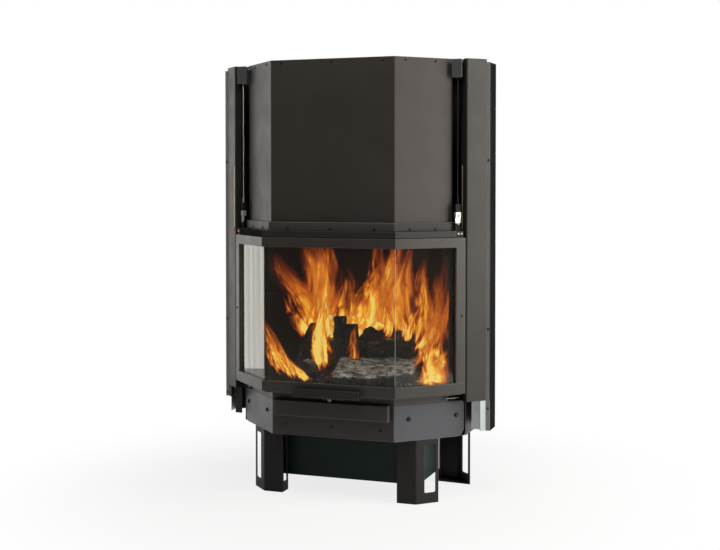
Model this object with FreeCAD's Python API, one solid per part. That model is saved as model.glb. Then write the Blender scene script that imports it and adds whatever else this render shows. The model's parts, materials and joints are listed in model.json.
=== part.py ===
import FreeCAD, Part
import math
import os

# Fireplace insert with a three-sided glass door that lifts on cables and counterweights.
# All lengths are in millimetres. Plan points are drawn from the door's front face:
# "along" runs down a side facet from the door's outer corner, "inset" runs square into the body.

V = FreeCAD.Vector

# Overall form
face_width = 498.0
facet_angle = 45.0
overrun = 5.0
running_gap = 0.3

# Sheet and plate thicknesses, and the inside radius of every fold
panel_sheet = 2.5
casing_sheet = 2.0
base_sheet = 3.0
shell_plate = 4.0
fold_radius = 2.0

# Heights, stacked from the floor
leg_height = 226.0
base_height = 124.0
deck_thickness = 4.0
sill_height = 31.7
door_height = 547.0
hood_height = 600.0

# Door frame, glass and handle
door_reach = 275.0
door_lip = 10.0
door_depth = 26.0
top_rail_height = 34.0
bottom_rail_height = 38.0
stile_width = 36.0
rebate = 8.0
glass_thickness = 5.0
glass_play = 0.5
handle_length = 248.0
handle_reach = 23.0
handle_drop = 10.0
handle_height = 30.0
handle_sheet = 3.0
handle_back_height = 24.0
pad_height = 40.0
pad_inset = 8.0
pad_depth = 12.0
pad_margin = 50.0

# Lift: carrier, hangers, cables, pulleys and counterweights
carrier_seam = 3.0
carrier_height = 21.0
carrier_depth = 20.0
carrier_neck_inset = 6.0
carrier_neck_depth = 10.0
hanger_block_length = 32.0
hanger_end_gap = 5.0
hanger_plate_width = 22.0
hanger_plate_thickness = 4.0
hanger_rise = 93.0
clamp_width = 20.0
clamp_depth = 14.0
clamp_height = 48.0
cable_end_gap = 18.0
cable_inset = 25.0
cable_radius = 2.0
cable_turn_radius = 22.0
rear_cable_length = 68.0
pulley_spacing = 121.0
pulley_rim_radius = 26.0
pulley_width = 14.0
groove_half_angle = 30.0
pin_radius = 5.0
pulley_drop = 30.0
bracket_width = 26.0
bracket_plate = 3.0
bracket_skirt = 24.0
bracket_front = 10.0
bracket_rear = 30.0
bracket_cover_width = 36.0
bracket_cover_drop = 2.0
weight_width = 48.0
weight_depth = 75.0
weight_height = 530.0
weight_corner_radius = 4.0
weight_eye_size = 12.0
weight_eye_height = 20.0

# Hood, strip below it and wings beside it
hood_inset = 43.0
hood_setback = 31.0
hood_return = 30.0
strip_inset = 31.0
strip_height = 30.0
strip_sheet = 2.0
wing_gap = 4.0
wing_width = 82.0
wing_lift = 1.0
wing_return = 26.0

# Rear casing
casing_strip = 14.5
casing_side_depth = 80.0
chamfer_depth = 230.0
casing_flap = 23.0
casing_lap = 37.0
casing_lift = 21.0
casing_drop = 12.0
left_casing_cut = 65.0
back_lap = 30.0
liner_width = 65.0
liner_bottom_gap = 2.0
liner_top_gap = 8.0
left_notch_width = 40.0
top_plate_sheet = 2.0
hot_air_radius = 75.0
hot_air_x = 270.0
hot_air_setback = 63.0

# Plinth, deck and legs
base_inset = 48.0
base_overreach = 19.0
base_corner_radius = 30.0
base_rear_gap = 5.0
deck_wing_gap = 12.0
floor_air_radius = 50.0
leg_along = 105.7
leg_windowed_width = 89.5
leg_plain_width = 72.0
leg_inner_width = 53.0
leg_window_start = 34.0
leg_window_width = 44.0
leg_window_corner = 6.0
leg_window_bottom = 37.0
leg_window_top_margin = 19.0
leg_slit_margin = 12.0
leg_foot_thickness = 4.0
rear_leg_setback = 51.0

# Air box under the plinth and its inlet
air_box_half_width = 278.0
air_box_front = 178.0
air_box_length = 262.0
air_box_height = 174.0
air_box_sheet = 2.0
inlet_radius = 50.0
inlet_wall = 2.0
inlet_length = 35.0
inlet_drop = 86.0

# Ash drawer and its runners
drawer_side_margin = 14.1
drawer_front_inset = 24.0
drawer_front_drop = 52.0
drawer_front_height = 57.0
drawer_front_depth = 22.0
drawer_front_lap = 15.0
drawer_box_depth = 300.0
drawer_box_height = 46.0
drawer_sheet = 2.0
runner_gap = 3.0
runner_lip = 20.0
runner_sheet = 2.0

# Sill under the door and the air control in it
sill_shelf_inset = 12.0
sill_shelf_thickness = 5.0
sill_plate = 4.0
sill_end_gap = 9.0
air_slot_half = 42.0
air_slot_height = 12.0
air_rod_radius = 4.0
air_rod_rise = 12.0
air_rod_length = 30.0
air_knob_radius = 8.0
air_knob_neck_radius = 5.0
air_knob_length = 16.0
air_slide_half = 75.0
air_slide_height = 23.0
air_slide_thickness = 3.0

# Firebox, lining, hearth and smoke path
jamb_inset = 44.0
jamb_setback = 17.0
jamb_width = 26.0
shell_corner_gap = 42.0
back_air_gap = 64.0
lining_thickness = 28.0
lining_drop = 57.0
lintel_drop = 52.0
lintel_plate = 3.0
lintel_setback = 4.0
firebox_roof = 3.0
hearth_inset = 38.0
hearth_thickness = 16.0
grate_centre_y = 250.0
grate_length = 260.0
grate_width = 170.0
grate_thickness = 14.0
grate_play = 1.0
grate_slot_count = 9
grate_slot_width = 12.0
grate_slot_length = 130.0
grate_slot_corner = 4.0
chute_rim = 10.0
chute_wall = 20.0
baffle_front_y = 262.0
baffle_back_gap = 15.0
baffle_front_half = 365.0
baffle_corner_gap = 15.0
baffle_thickness = 18.0
dome_half_width = 270.0
dome_front_y = 200.0
dome_back_gap = 25.0
dome_corner = 70.0
dome_height = 280.0
dome_sheet = 3.0
flue_y = 330.0
flue_radius = 100.0
flue_wall = 3.0
flue_top_drop = 4.0
flue_flange_radius = 128.0
flue_play = 1.0

# Heights worked out from the sizes above
base_bottom = leg_height
base_top = base_bottom + base_height
deck_top = base_top + deck_thickness
sill_top = deck_top + sill_height
door_bottom = sill_top + running_gap
door_top = door_bottom + door_height
glass_bottom = door_bottom + bottom_rail_height
glass_top = door_top - top_rail_height
carrier_bottom = door_top + carrier_seam
carrier_top = carrier_bottom + carrier_height
hanger_top = carrier_top + hanger_rise
strip_bottom = carrier_top
strip_top = strip_bottom + strip_height
roof_top = strip_bottom + firebox_roof
total_height = roof_top + hood_height
wing_bottom = deck_top + wing_lift
casing_bottom = base_bottom + casing_lift
casing_top = total_height - casing_drop
left_casing_bottom = casing_bottom + left_casing_cut
liner_bottom = casing_bottom + liner_bottom_gap
liner_top = casing_top - liner_top_gap
pulley_centre_height = casing_top - pulley_drop
eye_top = pulley_centre_height - rear_cable_length
weight_top = eye_top - weight_eye_height
air_box_bottom = base_bottom - air_box_height
inlet_height = base_bottom - inlet_drop
drawer_front_bottom = base_top - drawer_front_drop
runner_bottom = drawer_front_bottom - runner_sheet
air_rod_height = deck_top + air_rod_rise
hearth_top = sill_top + hearth_thickness
lining_top = strip_bottom - lining_drop
lintel_bottom = strip_bottom - lintel_drop
dome_top = roof_top + dome_height
flue_top = total_height - flue_top_drop

# Reaches along the side facets and depths behind the door, worked out from the sizes above
facet_sin = math.sin(math.radians(facet_angle))
facet_cos = math.cos(math.radians(facet_angle))
facet_half_tan = math.tan(math.radians(facet_angle) / 2)
hanger_end = door_reach - hanger_end_gap
carrier_reach = hanger_end - hanger_block_length
cable_along = door_reach - cable_end_gap
wing_start = door_reach + wing_gap
wing_end = wing_start + wing_width
hood_reach = wing_start - hood_setback
sill_end = wing_start - sill_end_gap
jamb_end = wing_start - jamb_setback
jamb_start = jamb_end - jamb_width
lintel_reach = jamb_end - lintel_setback
base_reach = wing_start + base_overreach
lintel_inset = strip_inset + strip_sheet
air_box_back = air_box_front + air_box_length
drawer_back_y = drawer_front_inset + drawer_front_depth + drawer_box_depth


def facet_point(side, along, inset):
    """Plan point on the right (1) or left (-1) side facet."""
    x = face_width / 2 + along * facet_cos - inset * facet_sin
    return (side * x, along * facet_sin + inset * facet_cos)


def corner_point(side, inset):
    """Plan point where the front facet meets a side facet, at an inset."""
    return (side * (face_width / 2 - inset * facet_half_tan), inset)


def plate(outline, bottom, top):
    """Flat plan outline raised from one height to another."""
    points = [V(x, y, bottom) for x, y in outline]
    face = Part.Face(Part.makePolygon(points + points[:1]))
    return face.extrude(V(0, 0, top - bottom))


def block(x_range, y_range, z_range):
    """Box between two places on each axis."""
    size = [pair[1] - pair[0] for pair in (x_range, y_range, z_range)]
    return Part.makeBox(*size, V(x_range[0], y_range[0], z_range[0]))


def facet_block(side, along_range, inset_range, z_range):
    """Box that lies in a side facet."""
    corners = [(along_range[0], inset_range[0]), (along_range[1], inset_range[0]),
               (along_range[1], inset_range[1]), (along_range[0], inset_range[1])]
    return plate([facet_point(side, *corner) for corner in corners], *z_range)


def three_facet_band(outer, inner, reach, bottom, top):
    """Bar that follows the front facet and both side facets between two insets."""
    front = [facet_point(-1, reach, outer), corner_point(-1, outer),
             corner_point(1, outer), facet_point(1, reach, outer)]
    back = [facet_point(1, reach, inner), corner_point(1, inner),
            corner_point(-1, inner), facet_point(-1, reach, inner)]
    return plate(front + back, bottom, top)


def offset_path(path, distance):
    """Plan path moved to its left, with mitred corners."""
    normals = []
    for (x0, y0), (x1, y1) in zip(path, path[1:]):
        length = math.hypot(x1 - x0, y1 - y0)
        normals.append(((y0 - y1) / length, (x1 - x0) / length))
    moved = []
    for index, (x, y) in enumerate(path):
        before = normals[max(index - 1, 0)]
        after = normals[min(index, len(normals) - 1)]
        spread = 1 + before[0] * after[0] + before[1] * after[1]
        shift_x = (before[0] + after[0]) / spread * distance
        shift_y = (before[1] + after[1]) / spread * distance
        moved.append((x + shift_x, y + shift_y))
    return moved


def round_edges(shape, radius, chosen):
    """Round the edges whose middle the given test picks."""
    return shape.makeFillet(radius, [edge for edge in shape.Edges if chosen(edge.CenterOfMass, edge)])


def round_upright(shape, places, radius):
    """Round the upright edges that stand at the given plan places."""
    def stands_there(middle, edge):
        lies_flat = edge.BoundBox.XLength + edge.BoundBox.YLength > running_gap
        return not lies_flat and any(math.hypot(middle.x - x, middle.y - y) < running_gap for x, y in places)
    return round_edges(shape, radius, stands_there)


def bent_sheet(path, thickness, bottom, top):
    """Sheet folded along a plan path, its thickness to the path's left, or right if it is negative."""
    other = offset_path(path, thickness)
    outer = []
    inner = []
    for index in range(1, len(path) - 1):
        (x0, y0), (x1, y1), (x2, y2) = path[index - 1:index + 2]
        turn = (x1 - x0) * (y2 - y1) - (y1 - y0) * (x2 - x1)
        corners = (path[index], other[index])
        outer.append(corners[0] if turn * thickness > 0 else corners[1])
        inner.append(corners[1] if turn * thickness > 0 else corners[0])
    sheet = plate(path + other[::-1], bottom, top)
    sheet = round_upright(sheet, outer, fold_radius + abs(thickness))
    return round_upright(sheet, inner, fold_radius)


def welded_walls(path, thickness, bottom, top):
    """Flat plates welded edge to edge along a plan path, with sharp corners."""
    return plate(path + offset_path(path, thickness)[::-1], bottom, top)


def tapered_solid(lower, upper):
    """Solid with flat sides between two outlines whose edges run parallel."""
    faces = [Part.Face(Part.makePolygon(ring + ring[:1])) for ring in (lower, upper)]
    for index in range(len(lower)):
        after = (index + 1) % len(lower)
        corners = [lower[index], lower[after], upper[after], upper[index]]
        faces.append(Part.Face(Part.makePolygon(corners + corners[:1])))
    return Part.Solid(Part.makeShell(faces))


def mirrored(path):
    """Plan path completed by its mirror image across the middle."""
    return path + [(-x, y) for x, y in path[::-1]]


def flipped(shape):
    """Mirror image for the other side."""
    return shape.mirror(V(0, 0, 0), V(1, 0, 0))


def upright(radius, height, x, y, z):
    return Part.makeCylinder(radius, height, V(x, y, z))


def cross_pin(radius, length, x, y, z):
    """Cylinder along X."""
    return Part.makeCylinder(radius, length, V(x, y, z), V(1, 0, 0))


def save(name, shape):
    """Write one piece, moved so that the footprint's middle is the origin."""
    shape = shape.copy()
    shape.translate(V(0, centre_shift, 0))
    shape.removeSplitter().exportStep("parts/" + name + ".step")


def save_pair(name, right):
    save(name + "_right", right)
    save(name + "_left", flipped(right))


def door_rail(bottom, top, rebate_at_top):
    """Frame rail with a lip in front of the glass and a rebate behind it."""
    lip = three_facet_band(0, door_lip, door_reach, bottom, top)
    body_bottom = bottom if rebate_at_top else bottom + rebate
    body_top = top - rebate if rebate_at_top else top
    return lip.fuse(three_facet_band(door_lip, door_depth, door_reach, body_bottom, body_top))


def door_stile():
    stile_start = door_reach - stile_width
    lip = facet_block(1, (stile_start, door_reach), (0, door_lip), (glass_bottom, glass_top))
    body_z = (glass_bottom - rebate, glass_top + rebate)
    body = facet_block(1, (stile_start + rebate, door_reach), (door_lip, door_depth), body_z)
    return lip.fuse(body)


def glass_pane(side):
    """Pane behind the rail lips: the front one for side 0, mitred at the corners."""
    outer = door_lip
    inner = door_lip + glass_thickness
    bottom = glass_bottom - rebate + glass_play
    top = glass_top + rebate - glass_play
    if side == 0:
        outline = [corner_point(-1, outer), corner_point(1, outer),
                   corner_point(1, inner), corner_point(-1, inner)]
        outline = [(x - math.copysign(glass_play, x), y) for x, y in outline]
    else:
        end = door_reach - stile_width + rebate - glass_play
        outline = [corner_point(side, outer), facet_point(side, end, outer),
                   facet_point(side, end, inner), corner_point(side, inner)]
    return plate(outline, bottom, top)


def door_handle():
    """Trough grip folded from one strip on the bottom rail, open at its top for the fingers."""
    bottom = door_bottom - handle_drop
    section = [(-handle_reach, bottom + handle_height), (-handle_reach, bottom), (0, bottom),
               (0, bottom + handle_back_height)]
    grip = bent_sheet(section, handle_sheet, -handle_length / 2, handle_length / 2)
    # The section is drawn in plan, so this turn sends its three axes to Y, Z and X.
    grip.rotate(V(0, 0, 0), V(1, 1, 1), 120)
    return grip


def door_carrier():
    bar = three_facet_band(0, carrier_depth, carrier_reach, carrier_bottom, carrier_top)
    neck_inner = carrier_neck_inset + carrier_neck_depth
    neck = three_facet_band(carrier_neck_inset, neck_inner, carrier_reach, door_top, carrier_bottom)
    return bar.fuse(neck)


def cable_hanger():
    """End block of the carrier, with the strip and clamp that take the cable."""
    end_block = facet_block(1, (carrier_reach, hanger_end), (carrier_neck_inset, carrier_depth),
                            (door_top, carrier_top))
    strip_start = cable_along - hanger_plate_width / 2
    strip = facet_block(1, (strip_start, strip_start + hanger_plate_width),
                        (carrier_depth, carrier_depth + hanger_plate_thickness),
                        (carrier_bottom, hanger_top))
    clamp_start = cable_along - clamp_width / 2
    clamp_front = cable_inset - clamp_depth / 2
    clamp = facet_block(1, (clamp_start, clamp_start + clamp_width),
                        (clamp_front, clamp_front + clamp_depth),
                        (hanger_top - clamp_height, hanger_top))
    return end_block.fuse([strip, clamp])


def slider_pads():
    """Four pads on the door's ends that run along the wings."""
    pads = []
    for side in (-1, 1):
        for bottom in (door_bottom + pad_margin, door_top - pad_margin - pad_height):
            pads.append(facet_block(side, (door_reach, wing_start - running_gap),
                                    (pad_inset, pad_inset + pad_depth), (bottom, bottom + pad_height)))
    return Part.makeCompound(pads)


def pulley_at(y):
    """Grooved wheel turned about X: the cable lies between the flanks of its V."""
    half_angle = math.radians(groove_half_angle)
    groove = cable_turn_radius - (cable_radius + running_gap) / math.sin(half_angle)
    lip = (pulley_rim_radius - groove) * math.tan(half_angle)
    half = pulley_width / 2
    bore = pin_radius + running_gap
    profile = [(bore, -half), (pulley_rim_radius, -half), (pulley_rim_radius, -lip), (groove, 0),
               (pulley_rim_radius, lip), (pulley_rim_radius, half), (bore, half)]
    points = [V(cable_x + across, y, pulley_centre_height + out) for out, across in profile]
    face = Part.Face(Part.makePolygon(points + points[:1]))
    return face.revolve(V(cable_x, y, pulley_centre_height), V(1, 0, 0), 360)


def pulley_bracket():
    """Folded bracket under the top plate, with both pulley pins and a cover in front."""
    x_range = (cable_x - bracket_width / 2, cable_x + bracket_width / 2)
    y_range = (cable_y - bracket_front, pulley_rear_y + bracket_rear)
    z_range = (pulley_centre_height - bracket_skirt, casing_top)
    outer = block(x_range, y_range, z_range)
    hollow = block((x_range[0] + bracket_plate, x_range[1] - bracket_plate),
                   (y_range[0] - overrun, y_range[1] + overrun),
                   (z_range[0] - overrun, z_range[1] - bracket_plate))
    pins = [cross_pin(pin_radius, bracket_width, x_range[0], y, pulley_centre_height)
            for y in (pulley_front_y, pulley_rear_y)]
    half_cover = bracket_cover_width / 2
    cover = block((cable_x - half_cover, cable_x + half_cover), (y_range[0] - bracket_plate, y_range[0]),
                  (z_range[0], total_height - bracket_cover_drop))
    return outer.cut(hollow).fuse(pins + [cover])


def cable_over_pulleys():
    """Stretch of cable round the front pulley, across and down round the rear one."""
    z = pulley_centre_height
    top = z + cable_turn_radius
    start = Part.Face(Part.Wire(Part.makeCircle(cable_radius, V(cable_x, cable_y, z), V(0, 0, 1))))
    front_arc = start.revolve(V(cable_x, pulley_front_y, z), V(-1, 0, 0), 90)
    run = Part.makeCylinder(cable_radius, pulley_spacing, V(cable_x, pulley_front_y, top), V(0, 1, 0))
    end = Part.Face(Part.Wire(Part.makeCircle(cable_radius, V(cable_x, pulley_rear_y, top), V(0, 1, 0))))
    rear_arc = end.revolve(V(cable_x, pulley_rear_y, z), V(-1, 0, 0), 90)
    return run.fuse([front_arc, rear_arc])


def counterweight():
    """Cut bar with rounded edges and the eye that takes the cable."""
    x_range = (cable_x - weight_width / 2, cable_x + weight_width / 2)
    y_range = (weight_y - weight_depth / 2, weight_y + weight_depth / 2)
    bar = block(x_range, y_range, (weight_top - weight_height, weight_top))
    bar = round_upright(bar, [(x, y) for x in x_range for y in y_range], weight_corner_radius)
    half_eye = weight_eye_size / 2
    eye = block((cable_x - half_eye, cable_x + half_eye), (weight_y - half_eye, weight_y + half_eye),
                (weight_top, eye_top))
    return bar.fuse(eye)


def hood_panel():
    right = [corner_point(1, hood_inset), facet_point(1, hood_reach, hood_inset),
             facet_point(1, hood_reach, hood_inset + hood_return)]
    path = [(-x, y) for x, y in right[::-1]] + right
    return bent_sheet(path, panel_sheet, roof_top, total_height)


def hood_strip():
    web = three_facet_band(strip_inset, lintel_inset, hood_reach, strip_bottom, strip_top)
    shelf = three_facet_band(lintel_inset, hood_inset, hood_reach, strip_top - strip_sheet, strip_top)
    return web.fuse(shelf)


def wing():
    """Folded strip beside the hood, ending where the fold of the casing behind it starts."""
    tip = wing_end - fold_radius * facet_half_tan
    path = [facet_point(1, wing_start, wing_return), facet_point(1, wing_start, 0), facet_point(1, tip, 0)]
    return bent_sheet(path, panel_sheet, wing_bottom, total_height)


def casing_side(bottom):
    """Folded side sheet: flap behind the wing, narrow front strip, side face."""
    path = [facet_point(1, wing_end - casing_flap, panel_sheet), facet_point(1, wing_end, panel_sheet),
            (casing_half_width, flange_y), (casing_half_width, side_end_y)]
    return bent_sheet(path, casing_sheet, bottom, casing_top)


def liner():
    """Flat strip behind the casing's front edge, clear of the fold beside it."""
    inner_x = casing_half_width - casing_sheet - liner_width
    return block((inner_x, casing_half_width - casing_sheet - fold_radius),
                 (flange_y + casing_sheet, flange_y + 2 * casing_sheet), (liner_bottom, liner_top))


def rear_chamfer():
    """Panel across a rear corner, with a lap inside the side sheet and one under the back panel."""
    path = [(chamfer_x, side_end_y - casing_lap), (chamfer_x, side_end_y),
            (chamfer_back_x, back_inner_y), (chamfer_back_x - back_lap, back_inner_y)]
    return bent_sheet(path, casing_sheet, casing_bottom, casing_top)


def top_plate(folded_sheets):
    """Top sheet behind the hood, with an ear behind each wing and round openings."""
    hood_back = hood_inset + panel_sheet
    ear_start = wing_start + panel_sheet
    lap_y = side_end_y + (casing_half_width - chamfer_x) * facet_half_tan
    right = [corner_point(1, hood_back), facet_point(1, ear_start, hood_back),
             facet_point(1, ear_start, panel_sheet), facet_point(1, wing_end, panel_sheet),
             (casing_half_width, flange_y), (casing_half_width, lap_y), (chamfer_back_x, back_depth)]
    sheet = plate(mirrored(right), casing_top, casing_top + top_plate_sheet)
    holes = [upright(flue_radius + flue_wall + flue_play, total_height, 0, flue_y, 0)]
    for side in (-1, 1):
        holes.append(upright(hot_air_radius, total_height, side * hot_air_x, hot_air_y, 0))
    return sheet.cut(folded_sheets + holes)


def base_front_plate():
    outer = base_inset
    inner = base_inset + base_sheet
    outline = [corner_point(-1, outer), corner_point(1, outer),
               corner_point(1, inner), corner_point(-1, inner)]
    sheet = plate(outline, base_bottom, base_top)
    half = drawer_half_box + runner_gap + runner_sheet
    opening = block((-half, half), (outer - overrun, inner + overrun),
                    (runner_bottom, base_top + overrun))
    return sheet.cut(opening)


def base_side_plate():
    """Side plate with its lower rear corner rounded."""
    outline = [corner_point(1, base_inset), facet_point(1, base_reach, base_inset),
               facet_point(1, base_reach, base_inset + base_sheet), corner_point(1, base_inset + base_sheet)]
    sheet = plate(outline, base_bottom, base_top)
    end = facet_point(1, base_reach, base_inset)
    for edge in sheet.Edges:
        middle = edge.CenterOfMass
        at_end = math.hypot(middle.x - end[0], middle.y - end[1]) < base_sheet
        if at_end and abs(middle.z - base_bottom) < running_gap:
            return sheet.makeFillet(base_corner_radius, [edge])
    return sheet


def base_rear_path():
    chamfer_sum = chamfer_x + side_end_y - casing_sheet / facet_cos
    rear_y = back_inner_y - casing_sheet
    right = [(base_rear_half, base_rear_start), (base_rear_half, chamfer_sum - base_rear_half),
             (chamfer_sum - rear_y, rear_y)]
    return mirrored(right)


def base_floor(rear_wall):
    """Floor of the plinth, cut round the folds of the rear wall, with the air hole."""
    rear = offset_path(base_rear_path(), base_sheet)
    inner = base_inset + base_sheet
    front = [facet_point(-1, base_reach, inner), corner_point(-1, inner),
             corner_point(1, inner), facet_point(1, base_reach, inner)]
    sheet = plate(front + rear[1:-1], base_bottom, base_bottom + base_sheet)
    air_y = (air_box_front + air_box_back) / 2
    return sheet.cut([rear_wall, upright(floor_air_radius, total_height, 0, air_y, 0)])


def grate_frame(margin, bottom, top):
    """Upright block round the grate's middle, wider than the grate by a margin on each side."""
    half_x = grate_length / 2 + margin
    half_y = grate_width / 2 + margin
    return block((-half_x, half_x), (grate_centre_y - half_y, grate_centre_y + half_y), (bottom, top))


def base_deck(chamfers):
    """Deck on the plinth, cut round the folds of the rear corners, with the ash chute on it."""
    rear = base_rear_path()
    deck_half = chamfer_x - casing_sheet
    deck_wing_start = base_rear_start + deck_wing_gap
    right = [corner_point(1, base_inset), facet_point(1, base_reach, base_inset),
             (facet_point(1, base_reach, base_inset)[0], deck_wing_start), (deck_half, deck_wing_start),
             (deck_half, rear[1][0] + rear[1][1] - deck_half), rear[2]]
    sheet = plate(mirrored(right), base_top, deck_top)
    chute = grate_frame(chute_rim, deck_top, sill_top)
    shaft = grate_frame(chute_rim - chute_wall, base_top - overrun, sill_top + overrun)
    return sheet.fuse(chute).cut([shaft] + chamfers)


def drawer_runners():
    """Two angles under the deck that the ash drawer slides on."""
    web_x = drawer_half_box + runner_gap
    path = [(web_x + runner_sheet - runner_lip, runner_bottom), (web_x + runner_sheet, runner_bottom),
            (web_x + runner_sheet, base_top)]
    right = bent_sheet(path, runner_sheet, base_inset + base_sheet, drawer_back_y)
    # The section is drawn in plan, so this turn stands it up and sends its length back along Y.
    right.rotate(V(0, 0, 0), V(1, 0, 0), 90)
    right = right.mirror(V(0, 0, 0), V(0, 1, 0))
    return Part.makeCompound([right, flipped(right)])


def leg(bend, rear):
    """Folded sheet leg on the right side, from its plain flange's outer bend."""
    turn = -1 if rear else 1
    inner_x = bend[0] - leg_plain_width
    tip = (bend[0] + leg_windowed_width * facet_cos, bend[1] + turn * leg_windowed_width * facet_sin)
    path = [(inner_x, bend[1] + turn * leg_inner_width), (inner_x, bend[1]), bend, tip]
    shape = bent_sheet(path, turn * base_sheet, 0, base_bottom)
    leg_window_top = base_bottom - leg_window_top_margin
    window = block((leg_window_start, leg_window_start + leg_window_width), (-overrun, 2 * overrun),
                   (leg_window_bottom, leg_window_top))
    window = round_edges(window, leg_window_corner, lambda middle, edge: edge.BoundBox.YLength > overrun)
    if rear:
        window = window.mirror(V(0, 0, 0), V(0, 1, 0))
    window.rotate(V(0, 0, 0), V(0, 0, 1), turn * facet_angle)
    window.translate(V(bend[0], bend[1], 0))
    slit_y = sorted((bend[1] + turn * leg_slit_margin, bend[1] + turn * (leg_inner_width - leg_slit_margin)))
    slit = block((inner_x - overrun, inner_x + 2 * overrun), slit_y, (leg_window_bottom, leg_window_top))
    foot = plate(offset_path(path, turn * base_sheet), 0, leg_foot_thickness)
    return shape.cut([window, slit]).fuse(foot)


def open_box(half_width, y_range, z_range, sheet):
    """Folded box with an open top and rounded upright corners."""
    outer = block((-half_width, half_width), y_range, z_range)
    outer = round_upright(outer, [(side * half_width, y) for side in (-1, 1) for y in y_range],
                          fold_radius + sheet)
    inner_half = half_width - sheet
    inner_y = (y_range[0] + sheet, y_range[1] - sheet)
    hollow = block((-inner_half, inner_half), inner_y, (z_range[0] + sheet, z_range[1] + overrun))
    hollow = round_upright(hollow, [(side * inner_half, y) for side in (-1, 1) for y in inner_y], fold_radius)
    return outer.cut(hollow)


def air_box():
    """Open-topped box under the plinth floor, with a round inlet at the back."""
    box = open_box(air_box_half_width, (air_box_front, air_box_back), (air_box_bottom, base_bottom),
                   air_box_sheet)
    back = V(0, air_box_back - air_box_sheet, inlet_height)
    pipe = Part.makeCylinder(inlet_radius + inlet_wall, inlet_length + air_box_sheet, back, V(0, 1, 0))
    bore = Part.makeCylinder(inlet_radius, inlet_length + air_box_sheet + 2 * overrun,
                             back - V(0, overrun, 0), V(0, 1, 0))
    return box.fuse(pipe).cut(bore)


def ash_drawer():
    """Open-topped tray welded from flat plates behind a proud front with folded edges."""
    front_end = drawer_front_inset + drawer_front_depth
    front_z = (drawer_front_bottom, drawer_front_bottom + drawer_front_height)
    face = block((-drawer_half_front, drawer_half_front), (drawer_front_inset, front_end), front_z)
    face = round_edges(face, fold_radius + drawer_sheet,
                       lambda middle, edge: middle.y < drawer_front_inset + running_gap)
    pocket_half = drawer_half_front - drawer_sheet
    wall_start = drawer_front_inset + drawer_sheet
    pocket = block((-pocket_half, pocket_half), (wall_start, front_end + overrun),
                   (front_z[0] + drawer_sheet, front_z[1] - drawer_sheet))
    floor_bottom = runner_bottom + runner_sheet + running_gap
    floor_top = floor_bottom + drawer_sheet
    wall_z = (floor_top, floor_bottom + drawer_box_height)
    inside_half = drawer_half_box - drawer_sheet
    floor = block((-drawer_half_box, drawer_half_box), (front_end, drawer_back_y), (floor_bottom, floor_top))
    right = block((inside_half, drawer_half_box), (wall_start, drawer_back_y), wall_z)
    back = block((-inside_half, inside_half), (drawer_back_y - drawer_sheet, drawer_back_y), wall_z)
    return Part.makeCompound([face.cut(pocket), floor, right, flipped(right), back])


def door_sill():
    shelf = three_facet_band(sill_shelf_inset, base_inset + sill_plate, sill_end,
                             sill_top - sill_shelf_thickness, sill_top)
    riser = three_facet_band(base_inset, base_inset + sill_plate, jamb_end, deck_top, sill_top)
    slot = block((-air_slot_half, air_slot_half), (base_inset - overrun, base_inset + sill_plate + overrun),
                 (air_rod_height - air_slot_height / 2, air_rod_height + air_slot_height / 2))
    return shelf.fuse(riser).cut(slot)


def air_control():
    """Slide plate behind the sill, with a rod through the slot and a turned knob."""
    slide_front = base_inset + sill_plate + running_gap
    slide = block((-air_slide_half, air_slide_half), (slide_front, slide_front + air_slide_thickness),
                  (deck_top + running_gap, deck_top + running_gap + air_slide_height))
    rod_front = slide_front - air_rod_length
    rod = Part.makeCylinder(air_rod_radius, air_rod_length, V(0, rod_front, air_rod_height), V(0, 1, 0))
    tip = rod_front - air_knob_length / 2
    shares = [(0, 0), (0.75, 0), (1, 0.2), (1, 0.65)]
    profile = [(air_knob_radius * out, tip + air_knob_length * back) for out, back in shares]
    profile += [(air_knob_neck_radius, tip + air_knob_length), (0, tip + air_knob_length)]
    points = [V(out, y, air_rod_height) for out, y in profile]
    face = Part.Face(Part.makePolygon(points + points[:1]))
    knob = face.revolve(V(0, tip, air_rod_height), V(0, 1, 0), 360)
    return slide.fuse([rod, knob])


def shell_path():
    right = [facet_point(1, jamb_start, jamb_inset), facet_point(1, jamb_end, jamb_inset),
             (shell_back_half, shell_back_y)]
    return mirrored(right)


def dome_outline(grow):
    """Lower outline of the smoke dome, a rectangle with cut corners."""
    half = dome_half_width + grow
    corner_x = dome_half_width - dome_corner
    right = [(corner_x, dome_front_y - grow), (half, dome_front_y + dome_corner),
             (half, dome_back_y - dome_corner), (corner_x, dome_back_y + grow)]
    return mirrored(right)


def firebox_shell(sill):
    """Welded box: jambs, sides and back, roof with the smoke opening, lintel behind the door."""
    path = shell_path()
    walls = welded_walls(path, shell_plate, deck_top, strip_bottom)
    roof_back = lintel_inset + lintel_plate
    outline = [corner_point(-1, lintel_inset), corner_point(1, lintel_inset),
               facet_point(1, lintel_reach, lintel_inset), facet_point(1, lintel_reach, roof_back)]
    outline += path[1:-1]
    outline += [facet_point(-1, lintel_reach, roof_back), facet_point(-1, lintel_reach, lintel_inset)]
    roof = plate(outline, strip_bottom, roof_top)
    smoke_way = plate(dome_outline(-dome_sheet), strip_bottom - overrun, roof_top + overrun)
    lintel = three_facet_band(lintel_inset, roof_back, lintel_reach, lintel_bottom, strip_top - strip_sheet)
    return walls.cut(sill).fuse([roof.cut(smoke_way), lintel])


def lining_slabs():
    """Right side slab and back slab, mitred where they meet."""
    outer = offset_path(shell_path(), shell_plate)
    inner = offset_path(shell_path(), shell_plate + lining_thickness)
    side = plate([outer[1], outer[2], inner[2], inner[1]], hearth_top, lining_top)
    back = plate([outer[2], outer[3], inner[3], inner[2]], hearth_top, lining_top)
    return side, back


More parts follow.
